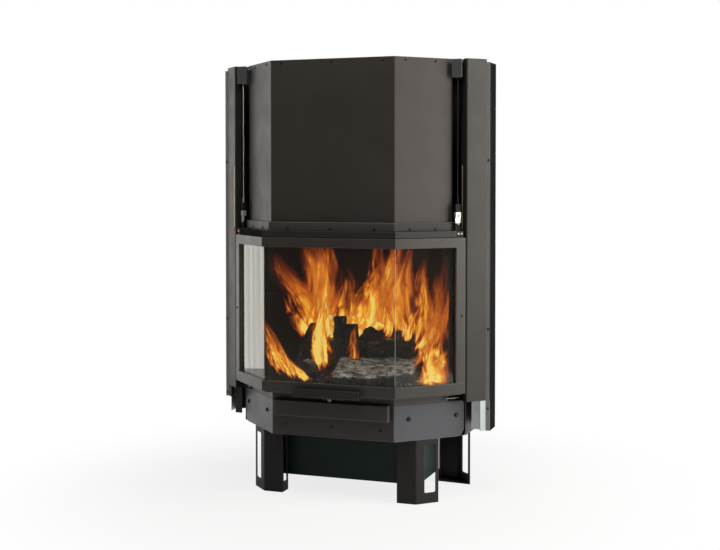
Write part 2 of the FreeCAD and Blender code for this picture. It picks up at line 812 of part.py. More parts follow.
def hearth_plate():
    inner = offset_path(shell_path(), shell_plate)
    front = [facet_point(-1, jamb_start, hearth_inset), corner_point(-1, hearth_inset),
             corner_point(1, hearth_inset), facet_point(1, jamb_start, hearth_inset)]
    slab = plate(front + inner, sill_top, hearth_top)
    return slab.cut(grate_frame(grate_play, sill_top - overrun, hearth_top + overrun))


def fire_grate():
    """Flat cast grate with a row of slots."""
    grate = grate_frame(0, sill_top, sill_top + grate_thickness)
    pitch = grate_length / (grate_slot_count + 1)
    y_range = (grate_centre_y - grate_slot_length / 2, grate_centre_y + grate_slot_length / 2)
    slots = []
    for index in range(grate_slot_count):
        x = (index - (grate_slot_count - 1) / 2) * pitch
        x_range = (x - grate_slot_width / 2, x + grate_slot_width / 2)
        slot = block(x_range, y_range, (sill_top - overrun, hearth_top))
        slots.append(round_upright(slot, [(x, y) for x in x_range for y in y_range], grate_slot_corner))
    return grate.cut(slots)


def smoke_dome():
    """Tapered dome from the firebox roof up to the flue, open at both ends."""
    solids = []
    for grow in (0, -dome_sheet):
        lower = [V(x, y, roof_top) for x, y in dome_outline(grow)]
        ring = flue_radius + flue_wall + dome_sheet + grow
        side = ring * facet_half_tan
        quarter = [(side, -ring), (ring, -side), (ring, side), (side, ring)]
        upper = [V(x, flue_y + y, dome_top) for x, y in mirrored(quarter)]
        solids.append(tapered_solid(lower, upper))
    return solids[0].cut(solids[1])


def flue_collar():
    """Flue socket that stands on the dome and passes through the top plate."""
    outer = flue_radius + flue_wall
    pipe = upright(outer, flue_top - dome_top, 0, flue_y, dome_top)
    flange = upright(flue_flange_radius, flue_wall, 0, flue_y, dome_top)
    return pipe.fuse(flange).cut(upright(flue_radius, total_height, 0, flue_y, 0))


# Places that several pieces share
cable_x, cable_y = facet_point(1, cable_along, cable_inset)
pulley_front_y = cable_y + cable_turn_radius
pulley_rear_y = pulley_front_y + pulley_spacing
weight_y = pulley_rear_y + cable_turn_radius
wing_edge_x, flange_y = facet_point(1, wing_end, panel_sheet)
casing_half_width = wing_edge_x + casing_strip
side_end_y = flange_y + casing_side_depth
chamfer_x = casing_half_width - casing_sheet
chamfer_slope = facet_cos / facet_sin
chamfer_back_x = chamfer_x - chamfer_depth * chamfer_slope
back_inner_y = side_end_y + chamfer_depth
back_depth = back_inner_y + casing_sheet
centre_shift = (handle_reach - back_depth) / 2
hot_air_y = side_end_y + hot_air_setback
rear_leg_bend_y = back_depth - rear_leg_setback
shell_back_y = back_depth - back_air_gap
shell_back_half = chamfer_x - (shell_back_y - side_end_y) * chamfer_slope - shell_corner_gap
baffle_back_y = shell_back_y - baffle_back_gap
baffle_back_half = shell_back_half - baffle_corner_gap
dome_back_y = shell_back_y - dome_back_gap
drawer_half_front = corner_point(1, base_inset)[0] - drawer_side_margin
drawer_half_box = drawer_half_front - drawer_front_lap
base_end_x, base_end_y = facet_point(1, base_reach, base_inset)
base_rear_half = base_end_x + base_rear_gap
base_rear_start = base_end_y + base_rear_gap

os.makedirs("parts", exist_ok=True)

# Plinth and legs
save("base_front_plate", base_front_plate())
save_pair("base_side", base_side_plate())
rear_wall = bent_sheet(base_rear_path(), base_sheet, base_bottom, base_top)
save("base_rear", rear_wall)
save("base_floor", base_floor(rear_wall))
corner_panel = rear_chamfer()
save("base_deck", base_deck([corner_panel, flipped(corner_panel)]))
save("drawer_runners", drawer_runners())
front_bend = facet_point(1, leg_along, base_inset)
rear_bend = (base_rear_path()[1][0] + base_rear_path()[1][1] - rear_leg_bend_y, rear_leg_bend_y)
save_pair("leg_front", leg(front_bend, False))
save_pair("leg_rear", leg(rear_bend, True))
save("air_box", air_box())
save("ash_drawer", ash_drawer())

# Firebox
sill = door_sill()
save("door_sill", sill)
save("air_control", air_control())
save("firebox_shell", firebox_shell(sill))
side_slab, back_slab = lining_slabs()
save_pair("lining", side_slab)
save("lining_back", back_slab)
save("hearth_plate", hearth_plate())
save("fire_grate", fire_grate())
baffle_half = [(baffle_front_half, baffle_front_y), (baffle_back_half, baffle_back_y)]
save("smoke_baffle", plate(mirrored(baffle_half), lining_top, lining_top + baffle_thickness))
save("smoke_dome", smoke_dome())
save("flue_collar", flue_collar())

# Hood, wings and casing
hood = hood_panel()
save("hood_panel", hood)
save("hood_strip", hood_strip())
right_wing = wing()
save_pair("wing", right_wing)
save("casing_side_right", casing_side(casing_bottom))
save("casing_side_left", flipped(casing_side(left_casing_bottom)))
notch = block((casing_half_width - left_notch_width, casing_half_width),
              (flange_y - overrun, flange_y + 2 * overrun), (liner_bottom - overrun, left_casing_bottom))
save("liner_right", liner())
save("liner_left", flipped(liner().cut(notch)))
save_pair("rear_chamfer", corner_panel)
back_x = (-chamfer_back_x, chamfer_back_x)
save("back_panel", block(back_x, (back_inner_y, back_depth), (casing_bottom, casing_top)))
save("top_plate", top_plate([hood, right_wing, flipped(right_wing)]))

# Door
save("door_top_rail", door_rail(glass_top, door_top, False))
save("door_bottom_rail", door_rail(door_bottom, glass_bottom, True))
save_pair("door_stile", door_stile())
save("glass_front", glass_pane(0))
save("glass_right", glass_pane(1))
save("glass_left", glass_pane(-1))
save("door_handle", door_handle())
save("door_carrier", door_carrier())
save_pair("cable_hanger", cable_hanger())
save("slider_pads", slider_pads())

# Lift gear
save_pair("pulley_bracket", pulley_bracket())
save_pair("pulley_front", pulley_at(pulley_front_y))
save_pair("pulley_rear", pulley_at(pulley_rear_y))
save_pair("counterweight", counterweight())
front_cable = upright(cable_radius, pulley_centre_height - hanger_top, cable_x, cable_y, hanger_top)
save("cable_fronts", Part.makeCompound([front_cable, flipped(front_cable)]))
save_pair("cable_rear", upright(cable_radius, pulley_centre_height - eye_top, cable_x, weight_y, eye_top))
over = cable_over_pulleys()
save("cable_tops", Part.makeCompound([over, flipped(over)]))
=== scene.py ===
# %% [markdown]
# # A three-sided fireplace insert with a lifting glass door
# The imported solids arrive as a fixed frame in metres. They already have the true shape of every sheet,
# rail and wheel, so this lesson dresses them: finishes first, then the small fasteners, the wire rope,
# the burning logs and the studio.

# %% Load the frame
import json
import math
import random

import bmesh
import bpy
from mathutils import Matrix, Vector, noise


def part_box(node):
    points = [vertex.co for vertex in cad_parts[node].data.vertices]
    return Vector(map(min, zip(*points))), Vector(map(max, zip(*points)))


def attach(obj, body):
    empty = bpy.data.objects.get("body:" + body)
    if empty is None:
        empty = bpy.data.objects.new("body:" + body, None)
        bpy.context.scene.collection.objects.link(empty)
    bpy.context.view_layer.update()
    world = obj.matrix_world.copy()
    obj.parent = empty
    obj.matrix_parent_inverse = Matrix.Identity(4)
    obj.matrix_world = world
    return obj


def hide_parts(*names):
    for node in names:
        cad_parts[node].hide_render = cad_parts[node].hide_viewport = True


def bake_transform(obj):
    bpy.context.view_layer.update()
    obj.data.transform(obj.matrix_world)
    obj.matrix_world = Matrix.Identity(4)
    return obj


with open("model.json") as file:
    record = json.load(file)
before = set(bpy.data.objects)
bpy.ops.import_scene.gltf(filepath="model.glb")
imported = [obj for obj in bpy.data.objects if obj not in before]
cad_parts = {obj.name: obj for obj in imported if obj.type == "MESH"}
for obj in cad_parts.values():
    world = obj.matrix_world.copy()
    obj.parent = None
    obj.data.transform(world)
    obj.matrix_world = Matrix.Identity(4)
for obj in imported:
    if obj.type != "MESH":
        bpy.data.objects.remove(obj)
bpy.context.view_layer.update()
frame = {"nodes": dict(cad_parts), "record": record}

nodes = frame["nodes"]

# %% [markdown]
# ## Places on the prismatic front
# The door, the hood and the plinth all follow the same plan: a flat front and two facets that run back
# at 45 degrees. A screw is easiest to place as a shop drawing does it: which facet, how far along it
# from the corner, how high, and how deep the sheet lies behind the door's face. A deeper sheet has its
# own corner nearer to the middle, so one helper measures along that sheet, and one along the door.

# %% Plan helpers
FACE_HALF = 0.249
FACET = math.radians(45)
FRONT_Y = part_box("door_bottom_rail")[0][1]
SIDES = ((-1, "left"), (1, "right"))
UPWARD = Vector((0, 0, 1))


def facet_out(side):
    """Outward direction of the front (0), right (1) or left (-1) facet."""
    if side == 0:
        return Vector((0, -1, 0))
    return Vector((side * math.sin(FACET), -math.cos(FACET), 0))


def corner_shift(inset):
    """How much nearer to the middle a corner lies on a sheet this deep behind the door's face."""
    return inset * math.tan(FACET / 2)


def facet_spot(side, along, inset, height):
    """Point and outward direction on a facet, measured along the sheet itself."""
    if side == 0:
        return Vector((along, FRONT_Y + inset, height)), facet_out(side)
    x = FACE_HALF - corner_shift(inset) + along * math.cos(FACET)
    y = FRONT_Y + inset + along * math.sin(FACET)
    return Vector((side * x, y, height)), facet_out(side)


def door_spot(side, along, inset, height):
    """The same, measured along the door's own face."""
    return facet_spot(side, along - corner_shift(inset), inset, height)


print("door face at y =", round(FRONT_Y, 4))

# %% [markdown]
# ## A small kit for nodes
# Every finish below is a tree of nodes. Written out by hand, each node takes several lines, so this kit
# adds a node, feeds its sockets and does sums in one call. It serves the materials and the world alike.

# %% Node kit
class NodeKit:
    def __init__(self, owner):
        owner.use_nodes = True
        self.tree = owner.node_tree

    def feed(self, socket, value):
        """Links another node's output to a socket, or sets a plain value on it."""
        if isinstance(value, bpy.types.NodeSocket):
            self.tree.links.new(value, socket)
        else:
            socket.default_value = value

    def add(self, kind, values=None, **settings):
        """A new node; values go to its sockets by name or number, settings are its own options."""
        node = self.tree.nodes.new(kind)
        for key, value in settings.items():
            setattr(node, key, value)
        for key, value in (values or {}).items():
            self.feed(node.inputs[key], value)
        return node

    def math(self, operation, first, *others):
        """One number from a first one and any others, joined in turn."""
        node = self.add("ShaderNodeMath", {0: first}, operation=operation)
        for number, other in enumerate(others):
            if number:
                node = self.add("ShaderNodeMath", {0: node.outputs[0]}, operation=operation)
            self.feed(node.inputs[1], other)
        return node.outputs[0]

    def weigh(self, first, share, second, other_share):
        """Two numbers added, each times its own share."""
        return self.math("ADD", self.math("MULTIPLY", first, share),
                         self.math("MULTIPLY", second, other_share))

    def span(self, factor, low, high, start=0.3, end=0.7, smooth=False):
        """Number between low and high as the factor goes from start to end."""
        values = {"Value": factor, "From Min": start, "From Max": end, "To Min": low, "To Max": high}
        curve = "SMOOTHSTEP" if smooth else "LINEAR"
        return self.add("ShaderNodeMapRange", values, interpolation_type=curve).outputs["Result"]

    def parts(self, vector):
        """The X, Y and Z of a vector."""
        return self.add("ShaderNodeSeparateXYZ", {"Vector": vector}).outputs

    def mix_shaders(self, share, first, second):
        return self.add("ShaderNodeMixShader", {"Fac": share, 1: first.outputs[0], 2: second.outputs[0]})


print("node kit ready")

# %% [markdown]
# ## A kit for finishes
# A finish is a material that is being built. Its noise lies in object space, in metres, so a grain of
# 2 mm is 2 mm on every piece, and needs no unwrapped mesh. Noise then becomes a colour, a number or a
# bump. A rounded normal softens sharp edges without more faces, and also tells where an edge is.

# %% Finish kit
# A mix node has the same socket names for numbers and for colours, so the colour ones go by number.
MIX_SHARE, MIX_FIRST, MIX_SECOND, MIX_RESULT = 0, 6, 7, 2


class Finish(NodeKit):
    def __init__(self, name):
        self.material = bpy.data.materials.new(name)
        super().__init__(self.material)
        self.shader = self.tree.nodes["Principled BSDF"]

    def coordinates(self, stretch=(1, 1, 1)):
        place = self.add("ShaderNodeTexCoord").outputs["Object"]
        return self.add("ShaderNodeMapping", {"Vector": place, "Scale": stretch}).outputs["Vector"]

    def noise(self, scale, detail=4.0, roughness=0.55, stretch=(1, 1, 1)):
        values = {"Scale": scale, "Detail": detail, "Roughness": roughness}
        values["Vector"] = self.coordinates(stretch)
        return self.add("ShaderNodeTexNoise", values).outputs[0]

    def cells(self, scale, feature="F1", stretch=(1, 1, 1)):
        values = {"Scale": scale, "Vector": self.coordinates(stretch)}
        return self.add("ShaderNodeTexVoronoi", values, feature=feature).outputs

    def ramp(self, factor, stops):
        """Colour by factor; stops are (position, colour) pairs."""
        node = self.add("ShaderNodeValToRGB", {"Fac": factor})
        while len(node.color_ramp.elements) < len(stops):
            node.color_ramp.elements.new(0.5)
        for element, (position, colour) in zip(node.color_ramp.elements, stops):
            element.position = position
            element.color = (*colour, 1.0)
        return node.outputs["Color"]

    def bump(self, height, distance, strength, normal=None):
        values = {"Height": height, "Distance": distance, "Strength": strength}
        if normal is not None:
            values["Normal"] = normal
        return self.add("ShaderNodeBump", values).outputs["Normal"]

    def soft_edges(self, radius):
        """Normal that rounds sharp edges a little, as paint and rolling do."""
        return self.add("ShaderNodeBevel", {"Radius": radius}, samples=4).outputs["Normal"]

    def edge_share(self, normal, flat, sharp):
        """0 on a flat face, 1 where the rounded normal leaves the true one."""
        true_normal = self.add("ShaderNodeNewGeometry").outputs["True Normal"]
        apart = self.add("ShaderNodeVectorMath", {0: normal, 1: true_normal}, operation="DOT_PRODUCT")
        return self.span(apart.outputs["Value"], 1.0, 0.0, sharp, flat)

    def blend(self, share, first, second):
        """One colour source turning into a fixed colour as the share goes to 1."""
        values = {MIX_SHARE: share, MIX_FIRST: first, MIX_SECOND: (*second, 1.0)}
        return self.add("ShaderNodeMix", values, data_type="RGBA").outputs[MIX_RESULT]

    def set(self, **values):
        """Values or node outputs on the shader's own sockets; names use _ for a space."""
        for key, value in values.items():
            self.feed(self.shader.inputs[key.replace("_", " ")], value)

    def cover(self, shader):
        """Puts another shader on the surface."""
        self.feed(self.tree.nodes["Material Output"].inputs["Surface"], shader.outputs[0])


print("finish kit ready")

# %% [markdown]
# ## Heat-proof black paint
# The hood, wings, plinth and door are sheet steel sprayed with satin stove paint. It isn't pure black:
# under a soft light it reads as a warm charcoal, with a very fine orange-peel grain and slightly uneven
# gloss. Large slow noise shifts the colour a little and fine noise gives the grain. Folded and cut
# edges get a painted highlight: a much lighter colour wherever a rounded normal finds an edge. One recipe
# with a row of colours serves all sheets; each batch reads a little different, and some rows paint light or
# shade.

# %% Paint finishes
EDGE_LIGHT = 2.7
EDGE_RADIUS = 0.0036
FLAT_EDGE, SHARP_EDGE = 0.992, 0.90


def stove_paint(name, dark, light, gloss, level):
    paint = Finish(name)
    rounded = paint.soft_edges(EDGE_RADIUS)
    edges = paint.edge_share(rounded, FLAT_EDGE, SHARP_EDGE)
    # painted highlight: edges found by the rounded normal get EDGE_LIGHT times the light colour
    painted_edge_highlight = tuple(EDGE_LIGHT * part for part in light)
    drift = paint.ramp(paint.noise(3.0, 3.0), [(0.35, dark), (0.7, light)])
    paint.set(Base_Color=paint.blend(edges, drift, painted_edge_highlight), Specular_IOR_Level=level,
              Roughness=paint.span(paint.noise(14.0, 5.0), gloss - 0.05, gloss + 0.07),
              Normal=paint.bump(paint.noise(900.0, 2.0), 0.0003, 0.10, rounded))
    return paint.material


# dark colour, light colour, roughness, specular level
recipes = {
    "heat_paint": ((0.037, 0.031, 0.027), (0.047, 0.040, 0.035), 0.46, 0.34),
    "door_paint": ((0.041, 0.036, 0.033), (0.051, 0.045, 0.042), 0.40, 0.38),
    # painted light: the hood strip's front is a lighter copy of the hood's paint, against its shade
    "strip_painted_light": ((0.068, 0.060, 0.054), (0.084, 0.075, 0.068), 0.42, 0.42),
    # painted shade: a darker copy for the hood strip's bent ends
    "strip_end_painted_shade": ((0.030, 0.027, 0.025), (0.038, 0.034, 0.032), 0.46, 0.28),
    "bar_paint": ((0.024, 0.021, 0.020), (0.031, 0.028, 0.026), 0.46, 0.26),
    "bracket_paint": ((0.064, 0.066, 0.067), (0.082, 0.084, 0.086), 0.40, 0.40),
    # painted light: a lighter grey on the casing's narrow front strip
    "casing_strip_painted_light": ((0.200, 0.204, 0.195), (0.250, 0.255, 0.245), 0.52, 0.30),
    # painted shade: near-black for faces turned away from the lights
    "painted_shade_black": ((0.004, 0.004, 0.004), (0.007, 0.007, 0.007), 0.85, 0.03),
    "wing_paint": ((0.031, 0.027, 0.023), (0.040, 0.035, 0.030), 0.47, 0.31),
    "plinth_paint": ((0.037, 0.033, 0.031), (0.047, 0.042, 0.040), 0.42, 0.36),
    "air_box_paint": ((0.003, 0.013, 0.010), (0.006, 0.023, 0.018), 0.46, 0.24),
    "plinth_side_paint": ((0.062, 0.066, 0.075), (0.076, 0.080, 0.090), 0.40, 0.46),
    "leg_paint": ((0.014, 0.012, 0.013), (0.020, 0.018, 0.018), 0.48, 0.24),
    # painted shade for the faces in the lift channel and for the channel upstands
    "channel_painted_shade": ((0.015, 0.015, 0.016), (0.022, 0.022, 0.023), 0.70, 0.10),
}
paints = {name: stove_paint(name, *recipe) for name, recipe in recipes.items()}
print("paints:", ", ".join(paints))

# %% [markdown]
# ## Zinc, cable steel, chrome and brass
# The rear casing is galvanised sheet, whose zinc crystals show as pale and darker flakes about a
# centimetre wide. The lift gear is zinc-plated, brushed by handling. Voronoi cells make the flakes, and
# stretched noise makes the brushing. Metals need only a colour, a roughness and something to reflect.

# %% Metal finishes
def galvanised_sheet():
    zinc = Finish("galvanised")
    flakes = zinc.add("ShaderNodeSeparateColor", {"Color": zinc.cells(95.0)["Color"]}).outputs["Red"]
    stain = zinc.noise(6.0, 5.0)
    mixed = zinc.weigh(flakes, 0.55, stain, 0.45)
    zinc.set(Base_Color=zinc.ramp(mixed, [(0.2, (0.50, 0.56, 0.57)), (0.8, (0.63, 0.69, 0.70))]),
             Roughness=zinc.span(mixed, 0.34, 0.52, 0.2, 0.8), Metallic=0.85,
             Normal=zinc.bump(stain, 0.001, 0.08, zinc.soft_edges(0.0008)))
    return zinc.material


def brushed_metal(name, dark, light, rough, stretch=(60, 60, 4)):
    metal = Finish(name)
    brush = metal.noise(12.0, 4.0, stretch=stretch)
    metal.set(Base_Color=metal.ramp(metal.noise(40.0, 4.0), [(0.3, dark), (0.7, light)]),
              Roughness=metal.span(brush, rough - 0.08, rough + 0.1), Metallic=1.0,
              Normal=metal.bump(brush, 0.0002, 0.12, metal.soft_edges(0.0005)))
    return metal.material


galvanised = galvanised_sheet()
zinc_plate = brushed_metal("zinc_plate", (0.46, 0.455, 0.40), (0.64, 0.63, 0.55), 0.50)
cable_steel = brushed_metal("cable_steel", (0.70, 0.64, 0.44), (0.92, 0.86, 0.62), 0.45, (40, 40, 40))
knob_chrome = brushed_metal("knob_chrome", (0.16, 0.16, 0.155), (0.26, 0.255, 0.25), 0.38, (30, 30, 30))
pad_brass = brushed_metal("pad_brass", (0.66, 0.56, 0.34), (0.82, 0.73, 0.48), 0.36)
black_oxide = brushed_metal("black_oxide", (0.025, 0.025, 0.026), (0.060, 0.058, 0.056), 0.42,
                            (30, 30, 30))
print("metals:", galvanised.name, zinc_plate.name, cable_steel.name, pad_brass.name)

# %% [markdown]
# ## Rough and sooty finishes
# Inside the firebox everything is matt: the steel shell is sooty, the lining boards are pressed
# vermiculite with brown grains, the hearth and grate are sand-cast iron, and the counterweights are bare
# bar with a film of rust. They share one recipe with different colours, grain sizes and bump depths.

# %% Rough finishes
def rough_surface(name, stops, grain_scale, depth, rough, metallic=0.0):
    surface = Finish(name)
    patches = surface.noise(9.0, 6.0, 0.65)
    grain = surface.noise(grain_scale, 5.0, 0.7)
    surface.set(Base_Color=surface.ramp(surface.weigh(patches, 0.6, grain, 0.4), stops),
                Roughness=surface.span(grain, rough - 0.08, min(rough + 0.08, 1.0)),
                Normal=surface.bump(grain, depth, 0.5, surface.soft_edges(0.001)),
                Metallic=metallic, Specular_IOR_Level=0.2)
    return surface.material


soot = [(0.3, (0.010, 0.009, 0.009)), (0.7, (0.026, 0.024, 0.022))]
board = [(0.3, (0.012, 0.011, 0.011)), (0.6, (0.030, 0.027, 0.024)), (0.85, (0.070, 0.055, 0.040))]
casting = [(0.3, (0.014, 0.013, 0.013)), (0.7, (0.036, 0.033, 0.031))]
rusty_bar = [(0.3, (0.07, 0.068, 0.068)), (0.65, (0.13, 0.125, 0.12)), (0.9, (0.15, 0.085, 0.05))]
sooty_steel = rough_surface("firebox_steel", soot, 160.0, depth=0.0006, rough=0.82)
vermiculite = rough_surface("vermiculite", board, 240.0, depth=0.0012, rough=0.92)
cast_iron = rough_surface("cast_iron", casting, 420.0, depth=0.0008, rough=0.70, metallic=0.3)
weight_iron = rough_surface("weight_iron", rusty_bar, 300.0, depth=0.0005, rough=0.55, metallic=0.6)
print("rough:", sooty_steel.name, vermiculite.name, cast_iron.name, weight_iron.name)

# %% [markdown]
# ## Ceramic glass
# The panes are 5 mm ceramic glass. A refracting shader would need many light paths and leave the fire
# dark, so the pane is made as thin glass: clear where it is seen square on, and a mirror at a slant, by
# the Fresnel law, on its outer face only. A trace of smoke film, stronger in patches, keeps it from
# being invisible, and upright streaks in the mirror are what wiping leaves.

# %% Glass finish
def pane_glass():
    glass = Finish("ceramic_glass")
    glass.tree.nodes.remove(glass.shader)
    clear = glass.add("ShaderNodeBsdfTransparent", {"Color": (0.96, 0.965, 0.955, 1.0)})
    mirror = glass.add("ShaderNodeBsdfGlossy", {"Color": (1.0, 1.0, 0.935, 1.0), "Roughness": 0.03})
    smoke = glass.ramp(glass.noise(5.0, 4.0), [(0.4, (0.20, 0.20, 0.19)), (0.7, (0.32, 0.31, 0.29))])
    film = glass.add("ShaderNodeBsdfDiffuse", {"Color": smoke})
    hazy = glass.mix_shaders(glass.span(glass.noise(7.0, 5.0), 0.010, 0.026), clear, film)
    slant = glass.add("ShaderNodeFresnel", {"IOR": 1.56}).outputs["Fac"]
    wiped = glass.span(glass.noise(38.0, 2.0, stretch=(1, 1, 0.02)), 0.82, 1.20, 0.36, 0.64)
    inner_face = glass.add("ShaderNodeNewGeometry").outputs["Backfacing"]
    shine = glass.math("MULTIPLY", slant, wiped, glass.math("SUBTRACT", 1.0, inner_face))
    glass.cover(glass.mix_shaders(shine, hazy, mirror))
    return glass.material


ceramic_glass = pane_glass()
print("glass:", ceramic_glass.name)

# %% [markdown]
# ## Dressing the frame
# Each solid keeps its shape and gets its finish through its material slots. The record names a slot per
# solid, which gives the default. The door, its lift bar, the wings, the plinth, the legs and the brackets
# are sprayed separately on the real thing and read a touch lighter, darker or cooler than the hood, so
# they have their own paint. The strip under the hood gets a lighter copy of the hood's paint, painted
# light against the shade it lies in. The first start of a name that fits decides.

# %% Assign finishes
heat_paint = paints["heat_paint"]
by_slot = {"heat_paint": heat_paint, "air_box_paint": paints["air_box_paint"],
           "firebox_steel": sooty_steel, "galvanised": galvanised, "zinc": zinc_plate,
           "cable_steel": cable_steel, "knob_chrome": knob_chrome, "ceramic_glass": ceramic_glass,
           "vermiculite": vermiculite, "cast_iron": cast_iron, "weight_iron": weight_iron,
           "pad_brass": pad_brass}
own_paint = {"door_carrier": "bar_paint", "door_handle": "bar_paint", "door_": "door_paint",
             "pulley_bracket": "bracket_paint", "hood_strip": "strip_painted_light", "wing_": "wing_paint",
             "base_side": "plinth_side_paint", "base_": "plinth_paint", "leg_": "leg_paint",
             "casing_side": "leg_paint", "ash_drawer": "plinth_paint"}
slot_of = {row["node"]: row["material_slot"] for row in frame["record"]["subparts"]}


def dress(name, finish):
    nodes[name].data.materials.clear()
    nodes[name].data.materials.append(finish)


for name in nodes:
    finish = by_slot[slot_of[name]]
    if finish is heat_paint:
        own = [paint for start, paint in own_paint.items() if name.startswith(start)]
        finish = paints[own[0]] if own else heat_paint
    dress(name, finish)
print("dressed", len(nodes), "solids")

# %% [markdown]
# ## Faces with painted shade and light
# Some sheets get a second colour on some faces, which paints light and shade. The faces that look into
# the lift channel and the outer face of the casing get painted shade in matt black, the casing's narrow
# front strip a lighter painted-light grey, and the hood strip's bent ends and the lift bar's left end a
# darker painted shade. Faces are picked by the way they look, which also holds when the solids change size.

# %% Faces with their own finish
def repaint(name, direction, paint, closeness=0.95):
    """Gives the faces that look in a direction a second finish, and counts them."""
    solid = nodes[name]
    solid.data.materials.append(paint)
    turn = solid.matrix_world.to_3x3()
    count = 0
    for face in solid.data.polygons:
        if (turn @ face.normal).normalized().dot(direction) > closeness:
            face.material_index = len(solid.data.materials) - 1
            count += 1
    return count


for side, word in SIDES:
    channel_in = Vector((-side * math.cos(FACET), -math.sin(FACET), 0))
    # painted shade on the channel faces and the casing's outer face, painted light on its front strip,
    # painted shade on the strip ends
    made = [repaint("wing_" + word, channel_in, paints["channel_painted_shade"]),
            repaint("rear_chamfer_" + word, channel_in, paints["channel_painted_shade"]),
            repaint("casing_side_" + word, Vector((side, 0, 0)), paints["painted_shade_black"]),
            repaint("casing_side_" + word, facet_out(0), paints["casing_strip_painted_light"]),
            repaint("hood_strip", facet_out(side), paints["strip_end_painted_shade"])]
    print(word, "faces repainted:", made)
# painted shade on the lift bar's left end
print("lift bar", repaint("door_carrier", facet_out(-1), paints["painted_shade_black"]))

# %% [markdown]
# ## Bare bands
# Two kinds of solid are bare zinc over part of their height only: the flap of the right casing side,
# below the wing, and the clamp of each rope hanger. A band between two heights, with a slightly ragged
# edge as spray leaves it, gives both. It is cut in the finish, as the sheet itself has no step there.

# %% Bare bands
RAGGED = 0.002
ONE_FLAT_FACE = 0.9999
CLAMP_LOW, CLAMP_HIGH = 0.065, 0.027


def bare_band(name, low, high, zinc):
    """Bare zinc between two heights, black paint elsewhere."""
    sheet = Finish(name)
    height = sheet.parts(sheet.coordinates())["Z"]
    ragged = sheet.math("ADD", height, sheet.math("MULTIPLY", sheet.noise(60.0, 3.0), RAGGED))
    bare = sheet.math("MULTIPLY", sheet.math("GREATER_THAN", ragged, low),
                      sheet.math("LESS_THAN", ragged, high))
    sheet.set(Base_Color=sheet.ramp(bare, [(0.0, (0.012, 0.011, 0.011)), (1.0, zinc)]),
              Metallic=sheet.math("MULTIPLY", bare, 0.85), Specular_IOR_Level=0.2,
              Roughness=sheet.span(bare, 0.60, 0.46, 0.0, 1.0))
    return sheet.material


flap_zinc = bare_band("flap_zinc", 0.0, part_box("wing_right")[0][2] + 0.001, (0.42, 0.46, 0.47))
flap = repaint("casing_side_right", facet_out(1), flap_zinc, ONE_FLAT_FACE)
hanger_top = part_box("cable_hanger_right")[1][2]
local_top = hanger_top - nodes["cable_hanger_right"].matrix_world.translation.z
clamp_zinc = bare_band("clamp_zinc", local_top - CLAMP_LOW, local_top - CLAMP_HIGH, (0.68, 0.70, 0.64))
for side, word in SIDES:
    dress("cable_hanger_" + word, clamp_zinc)
print("bare flap", flap, "faces")

# %% [markdown]
# ## Making pieces
# New pieces are built with bmesh. One helper turns a finished bmesh into an object, shades it smooth
# with sharp edges kept, gives it its finish and sets it on the body that carries it. Most pieces are
# rings of points with faces between them, so a second helper closes such rings, and a third turns them
# as on a lathe.

# %% Piece helpers
def make_piece(name, mesh_data, finish, body="root", smooth_angle=35):
    mesh = bpy.data.meshes.new(name)
    bmesh.ops.recalc_face_normals(mesh_data, faces=mesh_data.faces)
    mesh_data.to_mesh(mesh)
    mesh_data.free()
    mesh.materials.append(finish)
    mesh.shade_smooth()
    mesh.set_sharp_from_angle(angle=math.radians(smooth_angle))
    piece = bpy.data.objects.new(name, mesh)
    bpy.context.scene.collection.objects.link(piece)
    if body:
        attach(piece, body)
    return piece


def tube(mesh_data, rings, start_cap=True, end_cap=True):
    """Faces between rings of points, and flat caps at the ends."""
    for lower, upper in zip(rings, rings[1:]):
        for step in range(len(lower)):
            after = (step + 1) % len(lower)
            mesh_data.faces.new((lower[step], lower[after], upper[after], upper[step]))
    if start_cap:
        mesh_data.faces.new(rings[0][::-1])
    if end_cap:
        mesh_data.faces.new(rings[-1])


def turned(mesh_data, radius, profile, sides, place, normal, spin=0.0):
    """A turned form; the profile is (share of the radius, height) pairs, from the rim to the middle."""
    turn = normal.to_track_quat("Z", "Y").to_matrix().to_4x4()
    rings = []
    for share, height in profile:
        ring = []
        for step in range(sides):
            angle = spin + 2 * math.pi * step / sides
            local = Vector((share * radius * math.cos(angle), share * radius * math.sin(angle), height))
            ring.append(mesh_data.verts.new(place + turn @ local))
        rings.append(ring)
    tube(mesh_data, rings, start_cap=False)


print("piece helpers ready")

# %% [markdown]
# ## Screws and bolts
# Sheet-metal inserts are held by rows of small pan-head screws with a hexagon socket, and the plinth
# by M8 hexagon bolts on washers. They are too small for the solids, but a bare sheet looks like a toy
# without them. A screw is a turned profile whose last rings go down into the socket. A row is one piece.

# %% Fastener shapes
HEAD_RADIUS = 0.0042
HEAD_SIDES = 18
FLUSH_LIFT = 0.0002
WASHER_RADIUS, WASHER = 0.008, 0.0016
BOLT_ACROSS, BOLT_HEAD, BOLT_SPIN = 0.013, 0.0053, 0.3


def pan_screw(mesh_data, place, normal):
    height = 0.55 * HEAD_RADIUS
    dome = [(1.0, 0.0), (1.0, 0.35 * height), (0.88, 0.78 * height), (0.66, height), (0.46, height)]
    socket = [(0.44, 0.35 * height)]
    turned(mesh_data, HEAD_RADIUS, dome + socket, HEAD_SIDES, place, normal)


def flush_screw(mesh_data, place, normal):
    """Countersunk head, level with the sheet."""
    head = [(1.0, 0.0), (0.94, FLUSH_LIFT), (0.45, FLUSH_LIFT), (0.42, -FLUSH_LIFT)]
    turned(mesh_data, HEAD_RADIUS, head, HEAD_SIDES, place, normal)


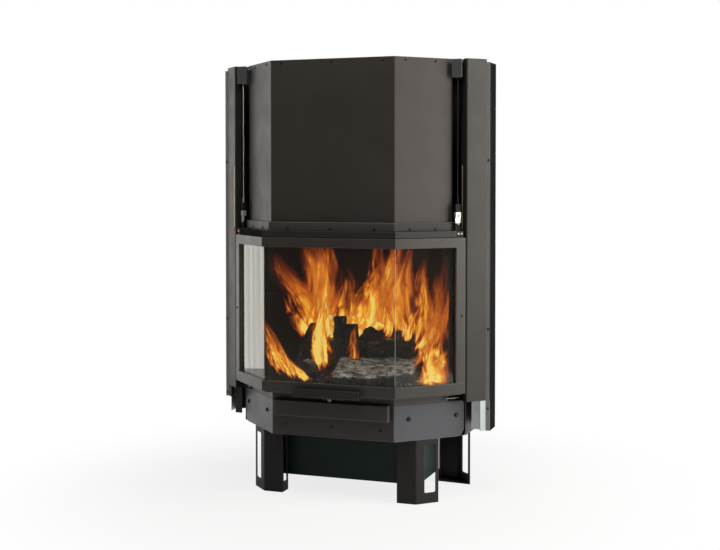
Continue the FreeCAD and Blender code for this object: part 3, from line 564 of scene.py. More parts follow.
def hex_bolt(mesh_data, place, normal):
    washer = [(1.0, 0.0), (1.0, 0.8 * WASHER), (0.9375, WASHER), (0.5, WASHER)]
    turned(mesh_data, WASHER_RADIUS, washer, 24, place, normal)
    head = [(1.0, WASHER), (1.0, 0.86 * BOLT_HEAD), (0.88, BOLT_HEAD), (0.3, BOLT_HEAD)]
    turned(mesh_data, BOLT_ACROSS / math.sqrt(3), head, 6, place, normal, BOLT_SPIN)


def screw_row(name, spots, shape, finish, body="root"):
    mesh_data = bmesh.new()
    for place, normal in spots:
        shape(mesh_data, place, normal)
    print(name, len(spots))
    return make_piece(name, mesh_data, finish, body)


print("screw heads", 2 * HEAD_RADIUS, "m wide, bolts", BOLT_ACROSS, "m across")

# %% [markdown]
# ## Screws on the front
# The hood hangs from a row of screws along its top edge, the strip under it has a few more, and the
# plinth has screws along its lower front edge and two bolts on each side plate. A row is listed by its
# sheet and its distance from one of that sheet's edges, so it follows the frame.

# %% Rows on the front
LOW, HIGH = 0, 1
LOCK_ALONG, LOCK_HEIGHT = 0.261, 0.660


def facet_row(front, alongs, inset, height):
    """Spots at these x on the front, and at these distances along both facets."""
    row = [facet_spot(0, x, inset, height) for x in front]
    return row + [facet_spot(side, along, inset, height) for along in alongs for side, word in SIDES]


# name, sheet, its edge, height from that edge, x on the front, distances along the facets, head
front_rows = [
    ("hood_screws", "hood_panel", HIGH, -0.011, (-0.19, 0.0, 0.19), (0.044, 0.162), pan_screw),
    ("strip_screws", "hood_strip", LOW, 0.008, (-0.163, 0.0, 0.163), (0.06, 0.16), pan_screw),
    ("plinth_screws", "base_front_plate", LOW, 0.038, (-0.18, 0.0, 0.18), (), pan_screw),
    ("plinth_bolts", "base_front_plate", LOW, 0.077, (), (0.058, 0.248), hex_bolt),
]
for name, sheet, edge, offset, front, alongs, head in front_rows:
    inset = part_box(sheet)[LOW][1] - FRONT_Y
    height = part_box(sheet)[edge][2] + offset
    screw_row(name, facet_row(front, alongs, inset, height), head, black_oxide)
lock_row = facet_row((), (LOCK_ALONG,), 0.0, LOCK_HEIGHT)
screw_row("door_lock_screws", lock_row, pan_screw, black_oxide, "door")

# %% [markdown]
# ## Screws on the casing
# The rear casing is screwed through its front strip, and along the rear edge of each side sheet with
# countersunk heads, so that the insert slides past masonry. The back panel has the same heads along its
# edges. The top sheet has pan heads, also round its two hot-air openings.

# %% Rows on the casing
def flat_spots(normal, places):
    """Spots on one flat sheet, which all look the same way."""
    return [(Vector(place), Vector(normal)) for place in places]


STRIP_MIDDLE, STRIP_SHEET, STRIP_HEIGHTS = 0.0065, 0.002, (1.205, 0.608, 0.326)
casing_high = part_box("casing_side_right")[HIGH]
strip_x = casing_high[0] - STRIP_MIDDLE
strip_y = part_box("liner_right")[LOW][1] - STRIP_SHEET
strip_places = [(side * strip_x, strip_y, height) for side, word in SIDES for height in STRIP_HEIGHTS]
screw_row("casing_strip_screws", flat_spots((0, -1, 0), strip_places), pan_screw, black_oxide)

SIDE_PITCH, SIDE_EDGE, SIDE_LOWEST = 0.158, 0.008, ((1, 0.283), (-1, 0.441))
side_spots = []
for side, height in SIDE_LOWEST:
    while height < casing_high[2]:
        place = (side * casing_high[0], casing_high[1] - SIDE_EDGE, height)
        side_spots += flat_spots((side, 0, 0), [place])
        height += SIDE_PITCH
screw_row("casing_side_screws", side_spots, flush_screw, black_oxide)

# %% Rows on the back and the top
EDGE = 0.014
BACK_STEPS = 8
back_low, back_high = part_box("back_panel")
back_places = []
for step in range(BACK_STEPS + 1):
    height = back_low[2] + EDGE + (back_high[2] - back_low[2] - 2 * EDGE) * step / BACK_STEPS
    back_places += [(side * (back_high[0] - EDGE), back_high[1], height) for side, word in SIDES]
screw_row("back_screws", flat_spots((0, 1, 0), back_places), flush_screw, zinc_plate)

AIR_X, AIR_Y, AIR_RING = 0.27, 0.127, 0.088
REAR_ROW, SIDE_ROWS = (-0.2, 0.0, 0.2), (0.0, 0.045)
top_x, top_y, top_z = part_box("top_plate")[HIGH]
top_places = [(x, top_y - EDGE, top_z) for x in REAR_ROW]
top_places += [(side * (top_x - EDGE), y, top_z) for side, word in SIDES for y in SIDE_ROWS]
for side, word in SIDES:
    for turn in range(4):
        angle = math.pi / 4 + turn * math.pi / 2
        x = side * AIR_X + AIR_RING * math.cos(angle)
        top_places.append((x, AIR_Y + AIR_RING * math.sin(angle), top_z))
screw_row("top_screws", flat_spots(UPWARD, top_places), pan_screw, zinc_plate)

# %% [markdown]
# ## Wire rope
# Each side of the door hangs on a 4 mm wire rope that runs over two pulleys to a counterweight. A plain
# tube would look like a rod, so the rope is laid as on the real thing: six strands wound round a core.
# The places come from the plain cables of the frame.

# %% Rope builder
ROPE_RADIUS = 0.002
STRANDS = 6
STRAND_SIDES = 6
LAY = 0.022


def on_circle(across, up, share):
    """Direction after a share of a full turn from across towards up."""
    angle = 2 * math.pi * share
    return across * math.cos(angle) + up * math.sin(angle)


def rope(mesh_data, route):
    """Six strands and a core along a route of points that keeps to one x."""
    strand = ROPE_RADIUS / 3
    across = Vector((1, 0, 0))
    for index in range(STRANDS + 1):
        rings = []
        travelled = 0.0
        for step, point in enumerate(route):
            before = route[max(step - 1, 0)]
            after = route[min(step + 1, len(route) - 1)]
            travelled += (point - before).length
            up = (after - before).normalized().cross(across)
            centre = point
            if index < STRANDS:
                centre = point + on_circle(across, up, travelled / LAY + index / STRANDS) * 2 * strand
            round_strand = [on_circle(across, up, corner / STRAND_SIDES) for corner in range(STRAND_SIDES)]
            rings.append([mesh_data.verts.new(centre + strand * out) for out in round_strand])
        tube(mesh_data, rings)


def straight(start, end, step=0.0022):
    count = max(2, int((end - start).length / step))
    return [start.lerp(end, index / count) for index in range(count + 1)]


front_low, front_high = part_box("cable_fronts")
rear_low, rear_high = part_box("cable_rear_right")
cable_x = front_high[0] - ROPE_RADIUS
front_y = (front_low[1] + front_high[1]) / 2
rear_y = (rear_low[1] + rear_high[1]) / 2
wheel_z = front_high[2]
turn_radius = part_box("cable_tops")[1][2] - ROPE_RADIUS - wheel_z
print("rope at x =", round(cable_x, 4), "turning at radius", round(turn_radius, 4))

# %% [markdown]
# ## Laying the ropes
# The route is straight, round the front wheel, across, and round the rear wheel. The stretch at the
# front grows shorter as the door rises and the one at the back longer; those two are set on no body.
# The one over the wheels keeps its place. The right half of the front rope gets painted shade, dark.

# %% Lay the ropes
ARC_STEPS = 24
ROPE_ANGLE = 60


def on_line(side, y, height):
    """A point in the plane of one side's rope."""
    return Vector((side * cable_x, y, height))


def right_half_painted_shade(piece):
    """The right-hand half of a piece gets painted shade: a dark finish."""
    piece.data.materials.append(black_oxide)
    for face in piece.data.polygons:
        if face.center.x > 0:
            face.material_index = 1


def quarter_turn(hub, start):
    """Points of a quarter turn round a wheel, from an angle downwards."""
    angles = [start - math.pi / 2 * step / ARC_STEPS for step in range(ARC_STEPS + 1)]
    return [hub + turn_radius * Vector((0, math.cos(angle), math.sin(angle))) for angle in angles]


front_mesh = bmesh.new()
for side, word in SIDES:
    rope(front_mesh, straight(on_line(side, front_y, wheel_z), on_line(side, front_y, front_low[2])))
front_rope = make_piece("lift_rope_front", front_mesh, cable_steel, None, ROPE_ANGLE)
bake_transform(front_rope)
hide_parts("cable_fronts")
# painted shade on the right-hand rope
right_half_painted_shade(front_rope)

for side, word in SIDES:
    rear_mesh = bmesh.new()
    rope(rear_mesh, straight(on_line(side, rear_y, wheel_z), on_line(side, rear_y, rear_low[2])))
    rear_rope = make_piece("lift_rope_rear_" + word, rear_mesh, cable_steel, None,
                           ROPE_ANGLE)
    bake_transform(rear_rope)
    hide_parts("cable_rear_" + word)

top_mesh = bmesh.new()
for side, word in SIDES:
    rear_hub = on_line(side, rear_y - turn_radius, wheel_z)
    route = quarter_turn(on_line(side, front_y + turn_radius, wheel_z), math.pi)
    route += straight(route[-1], rear_hub + turn_radius * UPWARD)[1:]
    route += quarter_turn(rear_hub, math.pi / 2)[1:]
    rope(top_mesh, route)
top_rope = make_piece("lift_rope_over_pulleys", top_mesh, cable_steel, "root", ROPE_ANGLE)
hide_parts("cable_tops")
print("three kinds of rope stretch laid")

# %% [markdown]
# ## Small fittings of the lift
# A rope ends in a pressed sleeve above each clamp and each weight. The clamp has two screws, and so has
# each end of the bar that carries the door. A sleeve is a turned form, and rides with what it hangs on.

# %% Fittings
SLEEVE_RADIUS, SLEEVE_LENGTH = 0.0038, 0.022
CLAMP_ALONG = 0.257
# inset, distance below the hanger's top
CLAMP_SCREWS = ((0.018, 0.040), (0.020, 0.069))
BAR_ALONG, BAR_INSET, BAR_DROP = (0.250, 0.262), 0.006, 0.010


def sleeve(mesh_data, place):
    profile = [(0.6, 0.0), (1.0, 0.06), (1.0, 0.94), (0.7, 1.0), (0.4, 1.0)]
    profile = [(share, height * SLEEVE_LENGTH) for share, height in profile]
    turned(mesh_data, SLEEVE_RADIUS, profile, 16, place, UPWARD)


door_sleeves = bmesh.new()
for side, word in SIDES:
    sleeve(door_sleeves, on_line(side, front_y, front_low[2]))
# painted shade on the right-hand sleeve
right_half_painted_shade(make_piece("rope_sleeves_door", door_sleeves, zinc_plate, "door"))
for side, word in SIDES:
    weight_sleeve = bmesh.new()
    sleeve(weight_sleeve, on_line(side, rear_y, rear_low[2]))
    make_piece("rope_sleeve_weight_" + word, weight_sleeve, zinc_plate, "weight_" + word)

clamp_spots = [door_spot(side, CLAMP_ALONG, inset, hanger_top - below_top)
               for inset, below_top in CLAMP_SCREWS for side, word in SIDES]
screw_row("clamp_screws", clamp_spots, pan_screw, zinc_plate, "door")
bar_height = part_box("door_carrier")[HIGH][2] - BAR_DROP
bar_spots = [door_spot(side, along, BAR_INSET, bar_height) for along in BAR_ALONG for side, word in SIDES]
screw_row("carrier_end_screws", bar_spots, pan_screw, zinc_plate, "door")

# %% [markdown]
# ## Guide rods
# Beside the lift's path stands a slim brass rod, on the left along the wing's folded edge and on the
# right deeper in the channel. At the foot of the left rod sits a red rubber stop with a waist. Both are
# turned forms, and show only as thin lines of colour.

# %% Guide rods
ROD_LOW, ROD_HIGH, ROD_RADIUS, ROD_BEVEL = 0.961, 1.186, 0.0028, 0.0015
# side, distance along the facet, inset
ROD_PLACES = ((-1, 0.2815, -0.0005), (1, 0.2795, 0.0292))
STOP_RADIUS, STOP_DROP = 0.0042, 0.024


def plain_finish(name, scale, dark, light, rough):
    """Two close colours by noise, with an even gloss."""
    finish = Finish(name)
    finish.set(Base_Color=finish.ramp(finish.noise(scale, 3.0), [(0.3, dark), (0.7, light)]),
               Roughness=rough)
    return finish.material


length = ROD_HIGH - ROD_LOW
rod = [(0.6, 0.0), (1.0, ROD_BEVEL), (1.0, length - ROD_BEVEL), (0.6, length), (0.2, length)]
rod_feet = [door_spot(side, along, inset, ROD_LOW)[0] for side, along, inset in ROD_PLACES]
rod_mesh = bmesh.new()
for foot in rod_feet:
    turned(rod_mesh, ROD_RADIUS, rod, 16, foot, UPWARD)
make_piece("guide_rods", rod_mesh, pad_brass, "root")

stop = [(0.5, 0.0), (1.0, 0.001), (1.0, 0.008), (0.7, 0.010), (0.7, 0.013), (1.0, 0.015), (1.0, 0.0215),
        (0.7, 0.023), (0.4, 0.023)]
stop_rubber = plain_finish("stop_rubber", 90.0, (0.36, 0.060, 0.020), (0.52, 0.110, 0.035), 0.6)
stop_mesh = bmesh.new()
turned(stop_mesh, STOP_RADIUS, stop, 16, rod_feet[0] - STOP_DROP * UPWARD, UPWARD)
make_piece("rod_stop", stop_mesh, stop_rubber)
print("rods from", ROD_LOW, "to", ROD_HIGH)

# %% [markdown]
# ## Folded angles
# A small bright angle closes the end of the sill under the door on each side. At the top of each lift
# channel another one stands on the top sheet, behind the pulley bracket: a dark sheet in painted shade
# that closes the view between the hood and the wing, and keeps dust off the wheel. Both are one
# L-shaped section drawn along the facet.

# %% Folded angles
SHEET = 0.0015


def folded_angles(name, front, wide, level, leg_end, reach, finish):
    """Angles on both facets: a flat leg at one level, an upright leg that ends at another."""
    fold = math.copysign(SHEET, leg_end - level)
    back = front + wide
    section = [(front, level), (back, level), (back, level + fold), (front + SHEET, level + fold),
               (front + SHEET, leg_end), (front, leg_end)]
    mesh_data = bmesh.new()
    for side, word in SIDES:
        tube(mesh_data, [[mesh_data.verts.new(door_spot(side, along, inset, height)[0])
                          for inset, height in section] for along in reach])
    print(name, "from z =", round(level, 3), "to", round(leg_end, 3))
    return make_piece(name, mesh_data, finish, "root")


angle_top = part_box("door_sill")[HIGH][2] - 0.018
folded_angles("sill_end_angles", front=0.034, wide=0.012, level=angle_top, leg_end=angle_top - 0.0025,
              reach=(0.215, 0.272), finish=knob_chrome)
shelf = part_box("top_plate")[HIGH][2] + 0.0002
upstand_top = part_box("wing_right")[HIGH][2] - 0.001
# the upstands are a dark sheet in painted shade
folded_angles("channel_upstands", front=0.0455, wide=0.012, level=shelf, leg_end=upstand_top,
              reach=(0.2487, 0.3140), finish=paints["channel_painted_shade"])

# %% [markdown]
# ## Glass corner beads
# The panes meet at the front corners on a thin bead of sealant, which shows as a fine bright line. It is
# a slim strip in the outer corner of the two panes, as a glazier would smooth it with a wet finger, and
# follows the height of the visible glass.

# %% Corner beads
BEAD_WIDE, BEAD_NOSE, BEAD_ROOT = 0.0013, (0.0001, -0.0007), (-0.0004, 0.0009)
sealant = plain_finish("sealant", 60.0, (0.10, 0.095, 0.085), (0.17, 0.16, 0.145), 0.28)
pane_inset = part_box("glass_front")[LOW][1] - FRONT_Y
visible = (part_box("door_bottom_rail")[HIGH][2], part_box("door_top_rail")[LOW][2])
bead_end = (BEAD_WIDE * math.cos(FACET), BEAD_WIDE * math.sin(FACET))
section = [(-BEAD_WIDE, 0.0), BEAD_NOSE, bead_end, BEAD_ROOT]
bead_mesh = bmesh.new()
for side, word in SIDES:
    corner = facet_spot(side, 0.0, pane_inset, 0.0)[0]
    tube(bead_mesh, [[bead_mesh.verts.new(corner + Vector((side * x, y, height))) for x, y in section]
                     for height in visible])
make_piece("glass_corner_beads", bead_mesh, sealant, "door", smooth_angle=50)
print("beads from", round(visible[0], 3), "to", round(visible[1], 3))

# %% [markdown]
# ## Charred wood
# The fire is fuel on the hearth, so it is no solid of the frame. Burning logs crack into dark scales
# with grey ash on top and a dull glow deep in the cracks. Voronoi cells give the scales, the way a face
# looks gives the ash, and the distance to a cell's edge gives the cracks and their glow.

# %% Wood finishes
def burnt_wood(name, ash_low, ash_high, glow, scale, pale, drawn, crack_wide, crack_dark):
    wood = Finish(name)
    to_edge = wood.cells(scale, "DISTANCE_TO_EDGE", drawn)["Distance"]
    grain = wood.noise(60.0, 6.0, 0.65, (0.35, 1.6, 1.6))
    facing_up = wood.parts(wood.add("ShaderNodeNewGeometry").outputs["Normal"])["Z"]
    ash = wood.math("MULTIPLY", wood.span(facing_up, 0.0, 1.0, ash_low, ash_high, True),
                    wood.span(wood.noise(0.9 * scale, 6.0, 0.7, drawn), 0.0, 1.0, 0.30, 0.62))
    crack = wood.span(to_edge, 0.0, 1.0, 0.0, crack_wide)
    shade = wood.math("ADD", wood.math("MULTIPLY", crack, crack_dark), 1.0 - crack_dark)
    # pale specks: ash flakes, which also stand as painted glints
    ash_flecks_and_glints = wood.span(wood.noise(75.0, 5.0, 0.65, (1.0, 1.0, 0.5)), 0.0, 0.70, 0.60, 0.70)
    tone = wood.math("MAXIMUM", wood.math("MULTIPLY", wood.weigh(grain, 0.35, ash, 0.75), shade), ash_flecks_and_glints)
    ember = wood.math("MULTIPLY", wood.span(to_edge, 1.0, 0.0, 0.0, 0.05),
                      wood.span(wood.noise(18.0, 3.0), 0.0, glow, 0.5, 0.7))
    colours = [(0.05, (0.004, 0.004, 0.004)), (0.3, (0.028, 0.026, 0.024)),
               (0.55, (0.35 * pale, 0.34 * pale, 0.31 * pale)), (0.85, (pale, 0.99 * pale, 0.92 * pale))]
    wood.set(Base_Color=wood.ramp(tone, colours), Roughness=0.62, Specular_IOR_Level=0.45,
             Emission_Color=wood.ramp(ember, [(0.0, (0.2, 0.01, 0.0)), (0.6, (0.9, 0.16, 0.01))]),
             Emission_Strength=ember, Normal=wood.bump(wood.weigh(crack, 0.7, grain, 0.5), 0.006, 0.8))
    return wood.material


charred_wood = burnt_wood("charred_wood", ash_low=0.55, ash_high=1.05, glow=0.30, scale=34.0, pale=0.55,
                          drawn=(1.0, 1.6, 1.6), crack_wide=0.10, crack_dark=0.8)
ashed_bark = burnt_wood("ashed_bark", ash_low=-0.15, ash_high=0.40, glow=0.08, scale=60.0, pale=0.62,
                        drawn=(0.45, 1.5, 1.5), crack_wide=0.07, crack_dark=0.75)
print("wood:", charred_wood.name, ashed_bark.name)

# %% [markdown]
# ## Logs
# A log is a bent cylinder whose radius wanders with noise, so that no two rings match, and whose split
# faces are cut flat. A cross-section is described by its radius and by flats: an angle and how far from
# the heart the flat lies. Ends are rough, with a ring of bark and a sunken heart.

# %% Log builder
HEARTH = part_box("hearth_plate")[1][2]
AROUND = 36
RING_STEP = 0.011
BOW = 0.10
PROBE_ALONG, PROBE_ROUND, PROBE_SEED = 22, 1.6, 7
END_ROUGH, END_TAPER, TAPER_LENGTH = 0.006, 0.10, 0.012
HEART_SHARE, HEART_DEPTH = 0.45, 0.002


def over_hearth(x, y, height):
    return Vector((x, y, HEARTH + height))


def split_radius(angle, radius, flats):
    """Radius of a round log with flats, at one angle."""
    size = radius
    for flat_angle, depth in flats:
        cosine = math.cos(angle - flat_angle)
        if cosine > 0.01:
            size = min(size, depth * radius / cosine)
    return size


def log(name, start, end, radius, finish, flats, seed, rough):
    mesh_data = bmesh.new()
    along = end - start
    turn = along.to_track_quat("X", "Z").to_matrix()
    steps = max(10, int(along.length / RING_STEP))
    rings = []
    for step in range(steps + 1):
        share = step / steps
        bow = BOW * radius * math.sin(math.pi * share + seed)
        taper = 1 - END_TAPER * max(0.0, 1 - min(share, 1 - share) * along.length / TAPER_LENGTH)
        ring = []
        for corner in range(AROUND):
            angle = 2 * math.pi * corner / AROUND
            cosine, sine = math.cos(angle), math.sin(angle)
            probe = Vector((share * along.length * PROBE_ALONG, cosine * PROBE_ROUND + seed * PROBE_SEED,
                            sine * PROBE_ROUND))
            size = split_radius(angle, radius, flats)
            size *= 1 + rough * noise.noise(probe) + 0.5 * rough * noise.noise(probe * 3.1)
            local = Vector((0, cosine * size * taper, sine * size * taper + bow))
            if step in (0, steps):
                local.x = END_ROUGH * noise.noise(probe * 2.3)
            ring.append(mesh_data.verts.new(start.lerp(end, share) + turn @ local))
        rings.append(ring)
    tube(mesh_data, rings, False, False)
    for ring, outward in ((rings[0], -1), (rings[-1], 1)):
        middle = sum((vertex.co for vertex in ring), Vector()) / AROUND
        sunk = turn @ Vector((outward * HEART_DEPTH, 0, 0))
        heart = [mesh_data.verts.new(middle.lerp(vertex.co, HEART_SHARE) + sunk) for vertex in ring]
        tube(mesh_data, [ring, heart], start_cap=False)
    return make_piece(name, mesh_data, finish, smooth_angle=70)


print("hearth at z =", round(HEARTH, 4))

# %% [markdown]
# ## Laying the fire
# Two round logs lie along the hearth and carry the rest: two thick ones at the back, a split one with
# ashed bark in front, and three thin pieces that stand or lean. Each is a row with its two ends.

# %% Lay the logs
UP = math.pi / 2
# name; ends as x, y and height over the hearth; radius; finish; flats; seed; unevenness
logs = [
    ("log_bed_left", (-0.150, -0.120, 0.036), (-0.125, 0.110, 0.036), 0.036, charred_wood, (), 1, 0.12),
    ("log_bed_right", (0.190, -0.060, 0.036), (0.215, 0.130, 0.036), 0.036, charred_wood, (), 2, 0.12),
    ("log_back_left", (-0.190, 0.012, 0.098), (-0.030, 0.022, 0.112), 0.050, charred_wood,
     ((UP, 0.8),), 3, 0.3),
    ("log_back_right", (0.025, 0.026, 0.116), (0.250, 0.002, 0.136), 0.066, charred_wood,
     ((UP - 0.5, 0.72), (UP + 0.9, 0.8)), 8, 0.3),
    ("log_front", (-0.028, -0.108, 0.040), (0.262, -0.072, 0.052), 0.078, ashed_bark,
     ((UP + 0.34, 0.40), (-UP, 0.50)), 4, 0.16),
    ("log_upright", (-0.052, -0.016, 0.050), (-0.060, 0.006, 0.228), 0.027, charred_wood,
     ((0.0, 0.75),), 5, 0.25),
    ("log_stub", (-0.008, -0.014, 0.060), (-0.014, 0.008, 0.200), 0.026, charred_wood,
     ((2.0, 0.7),), 6, 0.25),
    ("log_slant", (-0.205, -0.035, 0.030), (-0.160, 0.020, 0.195), 0.022, charred_wood, (), 7, 0.18),
]
for name, start, end, *shape in logs:
    log(name, over_hearth(*start), over_hearth(*end), *shape)
print(len(logs), "logs on the hearth")

# %% [markdown]
# ## Ember bed
# Under the logs lie broken embers and ash. A few hundred lumps of one small rough shape, scattered with
# a fixed seed, are enough. They glow only in patches, as a bed does when logs still burn above it.

# %% Embers
LUMPS, LUMP_SIZES = 260, (0.006, 0.017)
BED_X, BED_Y = (-0.21, 0.26), (-0.135, 0.120)
SUNK, WOBBLE, WOBBLE_SCALE = 0.55, 0.25, 120
ember = Finish("ember_bed")
heat = ember.noise(16.0, 4.0, 0.6)
lump = ember.noise(140.0, 4.0)
ashes = [(0.35, (0.006, 0.006, 0.006)), (0.6, (0.05, 0.047, 0.044)), (0.75, (0.22, 0.21, 0.20))]
ember.set(Base_Color=ember.ramp(lump, ashes), Roughness=0.95, Specular_IOR_Level=0.1,
          Emission_Color=ember.ramp(heat, [(0.5, (0.35, 0.02, 0.0)), (0.7, (1.0, 0.25, 0.02))]),
          Emission_Strength=ember.span(heat, 0.0, 0.9, 0.56, 0.74), Normal=ember.bump(lump, 0.003, 0.7))

draw = random.Random(11)
ember_mesh = bmesh.new()
for index in range(LUMPS):
    size = draw.uniform(*LUMP_SIZES)
    spot = over_hearth(draw.uniform(*BED_X), draw.uniform(*BED_Y), SUNK * size)
    made = bmesh.ops.create_icosphere(ember_mesh, subdivisions=1, radius=size)
    squash = Matrix.Diagonal((draw.uniform(0.8, 1.3), draw.uniform(0.7, 1.2), draw.uniform(0.5, 0.75)))
    spin = Matrix.Rotation(draw.uniform(0, 6.3), 3, "Z")
    for vertex in made["verts"]:
        wobble = 1 + WOBBLE * noise.noise(vertex.co * WOBBLE_SCALE + Vector((index, 0, 0)))
        vertex.co = spot + spin @ (squash @ (vertex.co * wobble))
make_piece("ember_lumps", ember_mesh, ember.material, smooth_angle=60)
print("ember bed of", LUMPS, "lumps")

# %% [markdown]
# ## Flame finish
# A flame has no surface, only light: white-yellow in its heart, orange, then red where it thins out and
# ends. Each tongue is a curved ribbon that carries four numbers in two UV layers: where across, how far
# up, a seed and its heat. Noise that streams upwards tears the edges, and the result drives both the
# colour of the light and how much of the ribbon is there.

# %% Flame finish
flame = Finish("flame")
tongue_place = flame.parts(flame.add("ShaderNodeUVMap", uv_map="tongue").outputs["UV"])
seed_heat = flame.parts(flame.add("ShaderNodeUVMap", uv_map="seed_heat").outputs["UV"])
across, up = tongue_place["X"], tongue_place["Y"]


def stream(across_scale, up_scale, scale, detail, distortion):
    """Noise that is drawn out along the flame."""
    place = flame.add("ShaderNodeCombineXYZ", {"X": flame.math("MULTIPLY", across, across_scale),
                                               "Y": flame.math("MULTIPLY", up, up_scale),
                                               "Z": seed_heat["X"]}).outputs["Vector"]
    values = {"Scale": scale, "Detail": detail, "Distortion": distortion, "Vector": place}
    return flame.add("ShaderNodeTexNoise", values).outputs[0]


def shifted(place, wander, amount):
    """A place across or up the tongue, moved by noise."""
    return flame.math("ADD", place, flame.math("MULTIPLY", flame.math("SUBTRACT", wander, 0.5), amount))


torn = stream(0.9, 1.5, 1.5, 4.0, 1.1)
streaks = stream(1.5, 0.9, 1.5, 4.0, 0.9)
licks = stream(1.6, 2.4, 1.8, 3.0, 1.4)
off_middle = flame.math("ABSOLUTE", shifted(shifted(across, torn, 1.6), licks, 0.7))
body_mask = flame.span(off_middle, 1.0, 0.0, 0.10, 1.05, True)
tip_mask = flame.span(shifted(up, streaks, 0.9), 1.0, 0.0, 0.70, 1.12, True)
foot_mask = flame.span(shifted(up, licks, 0.25), 0.0, 1.0, 0.0, 0.20, True)
mask = flame.math("MULTIPLY", body_mask, tip_mask, foot_mask)
flicker = flame.math("MULTIPLY", flame.span(streaks, 0.42, 1.30), flame.span(licks, 0.62, 1.15, 0.32, 0.65))
cooling = flame.span(up, 1.12, 0.36, 0.22, 0.95)
glow = flame.math("MULTIPLY", flame.math("MULTIPLY", mask, seed_heat["Y"]),
                  flame.math("MULTIPLY", flicker, cooling))
fire_colours = [(0.0, (0.16, 0.020, 0.005)), (0.25, (0.36, 0.050, 0.008)), (0.50, (0.63, 0.135, 0.012)),
                (0.74, (0.90, 0.300, 0.020)), (0.92, (1.0, 0.52, 0.045)), (1.0, (1.0, 0.70, 0.15))]
flame.set(Emission_Color=flame.ramp(glow, fire_colours), Emission_Strength=1.0,
          Alpha=flame.span(glow, 0.0, 0.95, 0.02, 0.78, True),
          Base_Color=(0.0, 0.0, 0.0, 1.0), Roughness=1.0, Specular_IOR_Level=0.0)
print("flame finish ready")

# %% [markdown]
# ## Flame ribbons
# A ribbon starts at its foot, swells, and narrows to its tip, with a sway that differs from one ribbon
# to the next. A flat card would vanish from the side, so it also bulges towards the viewer. What would
# pass through the smoke baffle is turned forwards under it, as flames spread under a shelf.

# %% Flame builder
FLAME_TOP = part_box("smoke_baffle")[0][2] - 0.006
FLAME_STEPS, FLAME_CELLS = 26, 8
SWAY, WAVES, WAVE_SHIFT = 0.07, 5.0, 2.4
SWELL_EARLY, SWELL_ROUND, NARROWEST = 0.62, 0.8, 0.1
BULGE, NARROWING, SEED_STEP = 0.25, 0.72, 1.7


def ribbon(mesh_data, foot, tip, width, foot_share, bend, heat, yaw, number):
    """One curved sheet; foot_share is its width at the foot, bend its bow to the side."""
    layers = mesh_data.loops.layers.uv
    side_way = Vector((math.cos(yaw), math.sin(yaw), 0))
    back_way = Vector((-math.sin(yaw), math.cos(yaw), 0))
    reach = SWAY * (tip - foot).length
    rows = []
    for step in range(FLAME_STEPS + 1):
        share = step / FLAME_STEPS
        sway = reach * share * math.sin(WAVES * share + WAVE_SHIFT * number)
        sway += 4 * bend * share * (1 - share)
        swell = foot_share + (1 - foot_share) * math.sin(math.pi * share ** SWELL_EARLY) ** SWELL_ROUND
        wide = width * max(swell, NARROWEST) * (1 - NARROWING * share ** 2)
        row = []
        for cell in range(FLAME_CELLS + 1):
            place_across = 2 * cell / FLAME_CELLS - 1
            bulge = BULGE * wide * (1 - place_across ** 2)
            place = foot.lerp(tip, share) + side_way * (sway + 0.5 * wide * place_across) - back_way * bulge
            spread = max(0.0, place.z - FLAME_TOP)
            place -= Vector((0, spread, spread))
            row.append((mesh_data.verts.new(place), place_across, share))
        rows.append(row)
    for lower, upper in zip(rows, rows[1:]):
        for cell in range(FLAME_CELLS):
            corners = (lower[cell], lower[cell + 1], upper[cell + 1], upper[cell])
            face = mesh_data.faces.new([corner[0] for corner in corners])
            for loop, corner in zip(face.loops, corners):
                loop[layers["tongue"]].uv = corner[1:]
                loop[layers["seed_heat"]].uv = (SEED_STEP * number, heat)


print("flames end below z =", round(FLAME_TOP, 3))

# %% [markdown]
# ## Lighting the fire
# The tongues are listed as a fire is seen: where each starts, how high it reaches, how wide and how hot
# it is. Broad sheets rise behind the logs, so the logs stand dark against them, and slim licks burn in
# front. A third of them have a second ribbon across, so that they also show from the side panes.

# %% Light the flames
TIP_BACK = 0.01
YAW, CROSS_YAW = 0.32, 1.75
CROSS_EVERY, CROSS_WIDTH, CROSS_HEAT = 3, 0.8, 0.85
